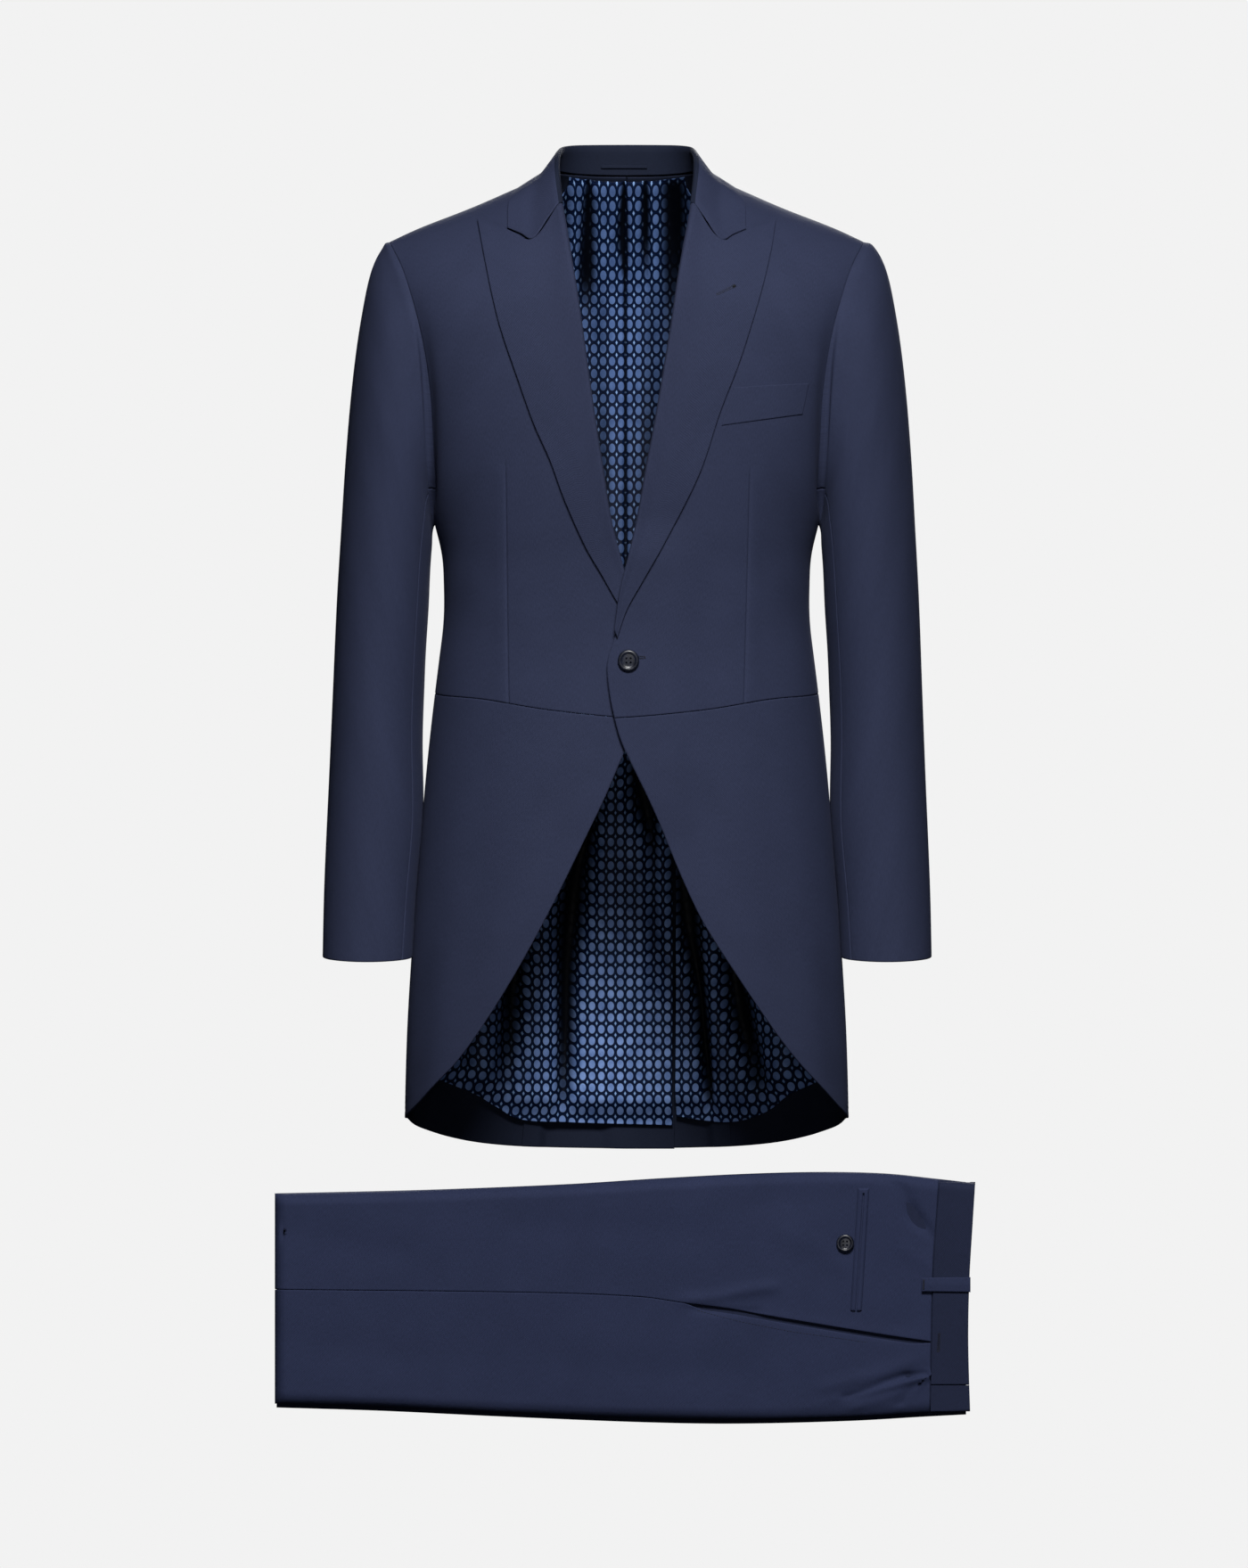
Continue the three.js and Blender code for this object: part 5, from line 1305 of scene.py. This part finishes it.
def cloth_piece(name, points, relief, outside, thickness, slot, *materials, uv=None, edge=1.2, shade=None,
                lined=None, faced=None):
    """A sheet of cloth: its second material shows on chosen places of its inner and outer sides; on some
    pieces that is the satin of the lining, on others the wool painted darker as painted shade
    """
    if uv is None:
        uv = cloth_uv(points)
    piece = sheet_mesh(f"{name}_cloth", points, outside, thickness, uv, relief, edge, shade)
    rows, columns = points.shape[:2]
    for polygon in piece.data.polygons if lined or faced else ():
        first = min(polygon.vertices)
        inner_side = first >= rows * columns
        row, column = divmod(first % (rows * columns), columns)
        shows = lined if inner_side else faced
        if shows is not None:
            polygon.material_index = int(shows(column / columns, row / rows))
    made[name] = finished(piece, [name], slot, *materials)


def coat_piece(name, shape, outside, *materials, thickness=CLOTH, **more):
    cloth_piece(name, *shape, outside, thickness, "coat_wool", *materials, **more)


def trouser_piece(name, shape, material, thickness=TROUSER_CLOTH, edge=1.0):
    cloth_piece(name, *shape, FRONT, thickness, "trouser_wool", material, edge=edge)


FRONT = np.array([0.0, -1.0, 0.0])
BACK = np.array([0.0, 1.0, 0.0])

# Shares of a panel's width or length where its second material begins or ends
FACING_SHARE = 0.36
CUFF_SHARES = (0.01, 0.955)
STAND_WIDTH_SHARE = 0.45


def beyond_facing(across, down):
    return across > FACING_SHARE


def above_cuff(across, down):
    return CUFF_SHARES[0] < down < CUFF_SHARES[1]


def all_over(across, down):
    return True


def on_stand(across, down):
    return across < STAND_WIDTH_SHARE


TOP_SLEEVE = (BACK_SLEEVE_SEAM - 360, FRONT_SLEEVE_SEAM, 76)
UNDER_SLEEVE = (FRONT_SLEEVE_SEAM, BACK_SLEEVE_SEAM, 30)

for side in SIGN:
    away = np.array([SIGN[side], 0.0, 0.0])
    coat_piece(f"forepart_{side}", forepart(side), FRONT, coat_wool, satin, lined=beyond_facing)
    coat_piece(f"side_body_{side}", side_body(side), away, coat_wool, satin, lined=all_over)
    # The insides of the backs and skirts are in the darker wool: painted shade
    coat_piece(f"back_{side}", back_panel(side), BACK, coat_wool, inside_wool_painted_darker, lined=all_over)
    coat_piece(f"skirt_{side}", skirt(side), away, coat_wool, inside_wool_painted_darker, lined=all_over)
    coat_piece(f"top_sleeve_{side}", sleeve(side, *TOP_SLEEVE), away, coat_wool, satin, lined=above_cuff)
    coat_piece(f"under_sleeve_{side}", sleeve(side, *UNDER_SLEEVE), -away, coat_wool, satin, lined=above_cuff)
    coat_piece(f"lapel_{side}", lapel(side), FRONT, coat_wool, thickness=lapel_ends[side][2], edge=0.7)
# On its stand the collar has the darker wool on one side: painted shade
coat_piece("collar", collar(), BACK, coat_wool, inside_wool_painted_darker, thickness=LAPEL_CLOTH, edge=0.9, faced=on_stand)

# The pattern of the upper lining runs straight down: a height, the row there and the height of a row.
# Below the change the cloth hangs freer, and its rows lie closer.
UPPER_PATTERN_X, UPPER_COLUMN, UPPER_COLUMN_SHIFT = -1.3, 8.5, 0.03
UPPER_ROWS_TOP = (-9.4, 0.5, 13.07)
UPPER_ROWS_LOW = (-100.9, 7.5, 11.76)
# The pattern of the tail's lining is drawn in a little, and bends with the folds
TAIL_DRAWN, TAIL_SHIFT, TAIL_BEND = (0.967, 1.022), 1.5, 5.0


def pattern_row(z, from_z, row, height):
    return row + (from_z - z) / height


def upper_pattern(x, z):
    across = np.abs(x - UPPER_PATTERN_X) / UPPER_COLUMN + UPPER_COLUMN_SHIFT
    low = pattern_row(z, *UPPER_ROWS_LOW)
    down = np.where(z > UPPER_ROWS_LOW[0], pattern_row(z, *UPPER_ROWS_TOP), low)
    return np.stack([across * OVAL_ACROSS, down * OVAL_DOWN], -1)


def tail_pattern(x, z):
    bend = TAIL_BEND * fold_depth(lining_folds_tail, x, z)
    return np.stack([x * TAIL_DRAWN[0] + TAIL_SHIFT, -z * TAIL_DRAWN[1] + bend], -1) * METRE


linings = {
    "lining_upper": (lining_upper, upper_pattern, satin),
    "lining_tail": (lining_tail, tail_pattern, tail_satin_painted_lighter),
}
for side in SIGN:
    for name, (shape, pattern, material) in linings.items():
        points, shade, x, z = shape(side)
        cloth_piece(
            f"{name}_{side}", points, None, -BACK, LINING, "lining_satin", material,
            uv=pattern(x, z), edge=0.6, shade=shade,
        )

# The breast pocket's welt
BREAST_WELT_LIFT = 1.0
u, v = np.meshgrid(spread(60, length=76), spread(30, length=33))
x, z = between(((99.5, -198), (169, -194)), ((88, -233.7), (163, -223)), u, v)
welt = lifted(angle_of(x, z), z, BREAST_WELT_LIFT + 0 * x)
coat_piece("breast_pocket_welt", (welt, None), FRONT, coat_wool, thickness=1.2, edge=0.8)

# The hanger loop inside the collar's stand
LOOP_X, LOOP_Z = (-24.0, 19.0), (7.4, 10.6)
LOOP_OFF, LOOP_END = 2, 0.5
STAND_SHARE = 0.05
NECK_SECTION = 29
u, v = np.meshgrid(spread(40, length=43), np.linspace(0, 1, 9))
loop_x = mix(*LOOP_X, u)
round_neck = 0.5 + loop_x / NECK_SECTION / (2 * (len(collar_points) - 1))
path = collar_grid(np.full_like(u, STAND_SHARE), round_neck)
stand = along(path, np.full_like(u, STAND_SHARE))
loop_y = stand[..., 1] - LOOP_OFF + LOOP_END * bump(u, 0.04)
loop = np.stack([loop_x, loop_y, mix(*LOOP_Z, v)], -1)
coat_piece("hanger_loop", (loop, None), FRONT, inside_wool_painted_darker, thickness=1.0, edge=0.5)

# The trousers' panels, waistband and belt loop
BAND_TOP_Z, BAND_LOW_Z = -937, -1151
BAND_LIFT, BAND_END_LIFT = 1.2, 0.2
BELT_LOOP_LIFT, BELT_LOOP_ROUND = 3.3, 0.5
for part in ("back", "front"):
    trouser_piece(f"trouser_{part}_right", trouser_panel(part), trouser_wool)
band = waistband(BAND_TOP_Z, BAND_SPLIT_Z + HALF_GAP, BAND_LIFT)
trouser_piece("waistband_right", band, darker_trouser_wool, thickness=2.4, edge=1.1)
band = waistband(BAND_SPLIT_Z - HALF_GAP, BAND_LOW_Z, BAND_END_LIFT)
trouser_piece("waistband_left_end", band, darker_trouser_wool, edge=0.9)
u, v = np.meshgrid(spread(50, length=45), spread(24, length=13))
x, z = between(((274.5, -1026), (320, -1025.5)), ((274.5, -1039), (320, -1039.6)), u, v)
belt_loop = laid_on(x, z, BELT_LOOP_LIFT + BELT_LOOP_ROUND * bump(v - 0.5, 0.35))
trouser_piece("belt_loop", (belt_loop, None), trouser_wool, edge=0.9)


# The welts of the hip pocket: up the inner one, over the end and down the outer one
WELT_TURN = (0, 0.46, 0.54, 1)
WELT_HALF = (0.7, 5.5)
WELT_TOP_X, WELT_LOW_X = 220.5, 213.5
WELT_TOP_Z, WELT_LOW_Z = (-947.7, -942.5), -1057
WELT_LIFT, WELT_DROP = 2.2, 1.2


def hip_welts():
    u, v = np.meshgrid(spread(150, WELT_TURN[1:3], edges=(0.5, 1.5), length=240), spread(24, length=5.2))
    down = np.interp(u, WELT_TURN, (1, 0, 0, 1))
    across = np.interp(u, WELT_TURN, (-1, -1, 1, 1)) * mix(*WELT_HALF, v)
    x = mix(WELT_TOP_X, WELT_LOW_X, down) + across
    z = mix(mix(*WELT_TOP_Z, v), WELT_LOW_Z, down)
    return laid_on(x, z, WELT_LIFT - WELT_DROP * smooth(0.55, 1, v)), None


trouser_piece("hip_pocket_welts", hip_welts(), trouser_wool)

# The layers folded under the panels: their edges show as steps round the rim
layer_profile = (
    (2.9, -0.5), (0.9, 1.2), (0.2, 3.6), (1.0, 6), (2.8, 7.2), (1.0, 8.4), (0.6, 10.8), (2.4, 13.2),
    (5.5, 14),
)
face_insets = (3.2, 5, 8.5, 16)
UNDER_START, UNDER_CLEAR, UNDER_LEAST = 2.9, 1.0, 0.5


def layer_section(x, full):
    top, bottom = float(top_edge(x)), float(read(trouser_bottom, "x", "z", x))
    height = float(read(trouser_height, "x", "y", x)) - TROUSER_CLOTH - UNDER_CLEAR

    def rise(off):
        share = min(1, (off - UNDER_START) / (TROUSER_ROUND - UNDER_START))
        return min(-UNDER_LEAST, -height * math.sqrt(1 - (1 - share) ** 2) * full)

    def shallow(y):
        return y if y > 0 else y * full

    section = [(x, shallow(y), top - off) for off, y in reversed(layer_profile)]
    section += [(x, rise(off), top - off) for off in face_insets]
    section += [(x, rise(off), bottom + LOWER_LAYER_SHOWS + off) for off in reversed(face_insets)]
    section += [(x, shallow(y), bottom + off) for off, y in layer_profile]
    return section


# The left end is rounded: places where the section is not yet full, and the share of its depth there
LAYERS_END = [(-326, 0.05), (-324.2, 0.55), (-320, 0.86)]
LAYERS_X = (-314, 316, 127)


def folded_layers():
    stations = LAYERS_END + [(x, 1.0) for x in np.linspace(*LAYERS_X)]
    sections = np.array([layer_section(x, full) for x, full in stations])
    count = sections.shape[1]
    quads = []
    for i in range(len(sections) - 1):
        for j in range(count):
            a, b = i * count + j, i * count + (j + 1) % count
            quads.append((a, a + count, b + count, b))
    for start, flip in ((0, False), ((len(sections) - 1) * count, True)):
        for j in range(count // 2 - 1):
            cap = (start + j, start + j + 1, start + count - 2 - j, start + count - 1 - j)
            quads.append(cap[::-1] if flip else cap)
    mesh = bpy.data.meshes.new("folded_layers_cloth")
    mesh.from_pydata((sections.reshape(-1, 3) * METRE).tolist(), [], quads)
    layer = mesh.uv_layers.new(name="cloth")
    for loop in mesh.loops:
        x, y, z = mesh.vertices[loop.vertex_index].co
        layer.data[loop.index].uv = (z + y, x)
    return smooth_piece("folded_layers_cloth", mesh)


# The folded layers are in the darker wool: painted shade under the panels
layers = "trouser_folded_layers"
made[layers] = finished(folded_layers(), [layers], "trouser_wool", darker_trouser_wool)

# The buttons: turned stock with a rim, a dished middle and four holes
button_profile = (
    (0, 0), (0.55, 0), (0.72, 0.03), (0.86, 0.35), (0.95, 0.9), (0.995, 1.5), (1.0, 1.9), (0.985, 2.4),
    (0.94, 2.85), (0.88, 3.12), (0.82, 3.22), (0.76, 3.2), (0.71, 3.0), (0.66, 2.65), (0.6, 2.42),
    (0.5, 2.32), (0.25, 2.22), (0, 2.2),
)
drill_profile = ((0, -1), (1, -1), (1, 5), (0, 5))
HOLE_WIDTH = 1.9
BUTTON_SEGMENTS, HOLE_SEGMENTS = 64, 20
SHARP_ANGLE = math.radians(40)


def turned(name, radius, profile, segments):
    """A solid of revolution whose axis points out of the cloth, along -Y"""
    rings = [(across * radius, up) for across, up in profile]
    vertices, quads = [(0, -rings[0][1], 0)], []
    for across, up in rings[1:-1]:
        for k in range(segments):
            turn = 2 * math.pi * k / segments
            vertices.append((across * math.cos(turn), -up, across * math.sin(turn)))
    vertices.append((0, -rings[-1][1], 0))
    last = len(vertices) - 1
    for k in range(segments):
        after = (k + 1) % segments
        quads.append((0, 1 + after, 1 + k))
        for ring in range(len(rings) - 3):
            a, b = 1 + ring * segments + k, 1 + ring * segments + after
            quads.append((a, b, b + segments, a + segments))
        quads.append((last - segments + k, last - segments + after, last))
    mesh = bpy.data.meshes.new(name)
    mesh.from_pydata((np.array(vertices) * METRE).tolist(), [], quads)
    shape = bmesh.new()
    shape.from_mesh(mesh)
    bmesh.ops.recalc_face_normals(shape, faces=shape.faces)
    shape.to_mesh(mesh)
    shape.free()
    return placed(name, mesh)


def applied(piece):
    """The piece with its modifiers made into a plain mesh"""
    ready = piece.evaluated_get(bpy.context.evaluated_depsgraph_get())
    mesh = bpy.data.meshes.new_from_object(ready)
    piece.modifiers.clear()
    piece.data = mesh


def button(name, diameter, base, apart):
    stock = turned(f"{name}_stock", diameter / 2, button_profile, BUTTON_SEGMENTS)
    for dx in (-apart, apart):
        for dz in (-apart, apart):
            drill = turned("drill", HOLE_WIDTH / 2, drill_profile, HOLE_SEGMENTS)
            drill.data.transform(Matrix.Translation((dx * METRE, 0, dz * METRE)))
            cut = stock.modifiers.new("hole", "BOOLEAN")
            cut.object = drill
            cut.operation = "DIFFERENCE"
            applied(stock)
            bpy.data.objects.remove(drill)
    stock.data.transform(Matrix.Translation(Vector(base) * METRE))
    shade_smooth(stock.data)
    stock.data.set_sharp_from_angle(angle=SHARP_ANGLE)
    finished(stock, [name], "button_horn", button_stock)


# Each button: its diameter, where its back is, and how far its holes are from its middle each way
BUTTON_CLEAR = 0.6
FRONT_BUTTON_X, FRONT_BUTTON_Z = 1.7, -452.0
HIP_BUTTON_X, HIP_BUTTON_Z = 203.4, -994.0
front_turn = angle_of(FRONT_BUTTON_X, FRONT_BUTTON_Z)
front_base = lifted(front_turn, FRONT_BUTTON_Z, OVERLAP_LIFT + BUTTON_CLEAR)
button("front_button", 20, front_base, 2.0)
button("hip_pocket_button", 16.5, laid_on(HIP_BUTTON_X, HIP_BUTTON_Z, BUTTON_CLEAR), 1.7)


# Stitches: Geometry Nodes lay one stitch at every step of a route drawn on the cloth
def stitch_tree():
    tree = bpy.data.node_groups.new("stitches", "GeometryNodeTree")
    floats = {name: "Float" for name in ("Step", "Length", "Thickness", "Turn", "Unevenness")}
    for name, kind in {"Route": "Geometry", **floats, "Seed": "Int", "Thread": "Material"}.items():
        tree.interface.new_socket(name, in_out="INPUT", socket_type=f"NodeSocket{kind}")
    tree.interface.new_socket("Stitches", in_out="OUTPUT", socket_type="NodeSocketGeometry")
    nodes = Nodes(tree)
    node = nodes.node
    given = node("NodeGroupInput").outputs
    curve = node("GeometryNodeMeshToCurve", {"Mesh": given["Route"]}).outputs["Curve"]
    step = {"Curve": curve, "Length": given["Step"]}
    points = node("GeometryNodeCurveToPoints", step, mode="LENGTH").outputs
    named = node("GeometryNodeInputNamedAttribute", {"Name": "out"}, data_type="FLOAT_VECTOR").outputs
    # Each stitch lies along the route and stands out of the cloth, turned by its own angle
    align = "FunctionNodeAlignRotationToVector"
    along_route = node(align, {"Vector": points["Tangent"]}, axis="X").outputs[0]
    ways = {"Rotation": along_route, "Vector": named["Attribute"]}
    upright = node(align, ways, axis="Z", pivot_axis="X").outputs[0]
    chances = {"Min": -1.0, "Max": 1.0, "Seed": given["Seed"]}
    chance = node("FunctionNodeRandomValue", chances, data_type="FLOAT").outputs[1]
    turn = nodes.math("MULTIPLY_ADD", chance, given["Unevenness"], given["Turn"])
    spin = node("FunctionNodeAxisAngleToRotation", {"Axis": (0, 0, 1), "Angle": turn}).outputs[0]
    rotation = node("FunctionNodeRotateRotation", {0: upright, 1: spin}, rotation_space="LOCAL").outputs[0]
    stitch = node("GeometryNodeMeshUVSphere", {"Segments": 8, "Rings": 6, "Radius": 0.5}).outputs["Mesh"]
    size = {0: given["Length"], 1: given["Thickness"], 2: given["Thickness"]}
    scale = node("ShaderNodeCombineXYZ", size).outputs[0]
    placing = {"Points": points["Points"], "Instance": stitch, "Rotation": rotation, "Scale": scale}
    laid = node("GeometryNodeInstanceOnPoints", placing).outputs["Instances"]
    real = node("GeometryNodeRealizeInstances", {0: laid}).outputs[0]
    dyed = node("GeometryNodeSetMaterial", {"Geometry": real, "Material": given["Thread"]}).outputs[0]
    node("NodeGroupOutput", {0: dyed})
    return tree


stitching = stitch_tree()
trees = {}


STITCH_LIFT = 0.2
STITCH_UNEVENNESS = 0.08
STITCH_SEED = 3
ROUTE_STEP = 2.0


def on_cloth(piece, x, z):
    """The point of a piece that faces the front at that place, and the way out of the cloth"""
    if piece.name not in trees:
        vertices = [vertex.co.copy() for vertex in piece.data.vertices]
        polygons = [tuple(polygon.vertices) for polygon in piece.data.polygons]
        trees[piece.name] = BVHTree.FromPolygons(vertices, polygons)
    before = Vector((x * METRE, -1, z * METRE))
    spot, normal, _, _ = trees[piece.name].ray_cast(before, Vector((0, 1, 0)))
    if spot is None:
        raise SystemExit(f"no cloth of {piece.name} at {x}, {z}")
    return spot, normal


def stitches(name, piece, route, step, length, thickness, thread_material, turn=0.0):
    """A row of stitches on a piece, along a list of places (x, z). Sizes are millimetres"""
    vertices, ways = [], []
    route = np.array(route, float)
    distance = np.concatenate([[0], np.cumsum(np.hypot(*np.diff(route, axis=0).T))])
    count = max(2, int(distance[-1] / min(ROUTE_STEP, step * 2)) + 2)
    for at in np.linspace(0, distance[-1], count):
        x, z = np.interp(at, distance, route[:, 0]), np.interp(at, distance, route[:, 1])
        spot, normal = on_cloth(piece, x, z)
        vertices.append(spot + normal * thickness * STITCH_LIFT * METRE)
        ways.extend(normal)
    edges = [(i, i + 1) for i in range(count - 1)]
    mesh = bpy.data.meshes.new(name)
    mesh.from_pydata(vertices, edges, [])
    out = mesh.attributes.new("out", "FLOAT_VECTOR", "POINT")
    out.data.foreach_set("vector", np.array(ways, np.float32))
    rows = placed(name, mesh)
    sew = rows.modifiers.new("sew", "NODES")
    sew.node_group = stitching
    values = {
        "Step": step * METRE, "Length": length * METRE, "Thickness": thickness * METRE, "Turn": turn,
        "Unevenness": STITCH_UNEVENNESS, "Seed": STITCH_SEED, "Thread": thread_material,
    }
    for item in stitching.interface.items_tree:
        if item.name in values:
            sew[item.identifier] = values[item.name]
    applied(rows)
    shade_smooth(rows.data)
    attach(rows, "root")


QUARTER = math.pi / 2


def buttonhole(name, piece, start, end, thread_material, reach=0.9, eyelet=0.0):
    """A slit worked all round with close stitches that lie across its edge"""
    start, end = np.array(start, float), np.array(end, float)
    way = (end - start) / np.linalg.norm(end - start)
    side_way = np.array([-way[1], way[0]])
    upper, lower = [], []
    for share in np.linspace(0, 1, 17):
        widen = side_way * (reach + eyelet * bump(share - 0.92, 0.09))
        upper.append(mix(start, end, share) + widen)
        lower.append(mix(start, end, share) - widen)
    route = upper + lower[::-1] + [upper[0]]
    stitches(name, piece, route, 0.42, reach * 1.7, 0.42, thread_material, QUARTER)


pocket_route = [(67, -1057), (106, -1067), (152, -1076), (222, -1086)]
tack_route = [(276.5, -1028), (276.2, -1037)]
eyelet_route = [(99.2, -104.6), (100.2, -104.1)]
pocket, loop, band = made["trouser_front_right"], made["belt_loop"], made["waistband_right"]
front, peak = made["forepart_left"], made["lapel_left"]
stitches("pocket_stitches", pocket, pocket_route, 3.0, 2.2, 0.5, dark_thread)
stitches("belt_loop_tack", loop, tack_route, 0.5, 2.0, 0.5, dark_thread, QUARTER)
buttonhole("front_buttonhole", front, (9, -449), (17, -449), dark_thread)
buttonhole("lapel_buttonhole", peak, (83.6, -112), (101, -103.5), buttonhole_twist, 0.7, 0.9)
# A near-black blob of thread in the eyelet: painted shadow of the hole
stitches("lapel_eyelet_shadow", peak, eyelet_route, 0.8, 2.6, 2.0, shadow)
buttonhole("waist_buttonhole", band, (291, -1078), (290, -1095), dark_thread, 0.7)


# The stage: a pale floor well below, soft light from the front and the back, and a far camera
def area_light(name, place, aim, size, power):
    light = bpy.data.lights.new(name, "AREA")
    light.shape = "DISK"
    light.size = size
    light.energy = power
    lamp = placed(name, light)
    lamp.location = place
    lamp.rotation_euler = (Vector(aim) - Vector(place)).to_track_quat("-Z", "Y").to_euler()
    lamp.visible_camera = False


area_light("key", (0.3, -3.6, 2.3), (0, 0, -0.45), 1.4, 250)
area_light("low fill", (-0.2, -3.2, -1.3), (0, 0, -0.8), 1.6, 11)
area_light("back light", (0.3, 4.2, 1.2), (0, 0, -0.45), 2.0, 180)

FLOOR_X, FLOOR_Y, FLOOR_Z = 2.5, 2.2, -1.5
floor_corners = [(x * FLOOR_X, y * FLOOR_Y, FLOOR_Z) for x, y in ((-1, -1), (1, -1), (1, 1), (-1, 1))]
floor_mesh = bpy.data.meshes.new("floor")
floor_mesh.from_pydata(floor_corners, [], [(0, 1, 2, 3)])
floor_mesh.materials.append(floor_paint)
floor = placed("floor", floor_mesh)
# The floor is lit evenly by itself and throws no light back on the cloth
floor.visible_diffuse = False
floor.visible_glossy = False

BACKDROP = (0.888, 0.888, 0.888, 1)
world = bpy.data.worlds.new("studio")
bpy.context.scene.world = world
world.use_nodes = True
world.node_tree.nodes["Background"].inputs["Color"].default_value = BACKDROP
world.node_tree.nodes["Background"].inputs["Strength"].default_value = 1.0
# The world is the pale backdrop alone: the lamps light the suit
world.cycles_visibility.diffuse = False
world.cycles_visibility.glossy = False
bpy.context.scene.view_settings.view_transform = "Standard"

CAMERA_AWAY = 40.0
CAMERA_X, CAMERA_Z = -0.0025, -0.5665
FRAME_HEIGHT = 1.460
SENSOR_HEIGHT = 36
lens = bpy.data.cameras.new("photo")
lens.sensor_fit = "VERTICAL"
lens.sensor_height = SENSOR_HEIGHT
lens.lens = SENSOR_HEIGHT * CAMERA_AWAY / FRAME_HEIGHT
lens.clip_start = 1
lens.clip_end = 200
camera = placed("photo camera", lens)
camera.location = (CAMERA_X, -CAMERA_AWAY, CAMERA_Z)
camera.rotation_euler = (math.radians(90), 0, 0)
bpy.context.scene.camera = camera

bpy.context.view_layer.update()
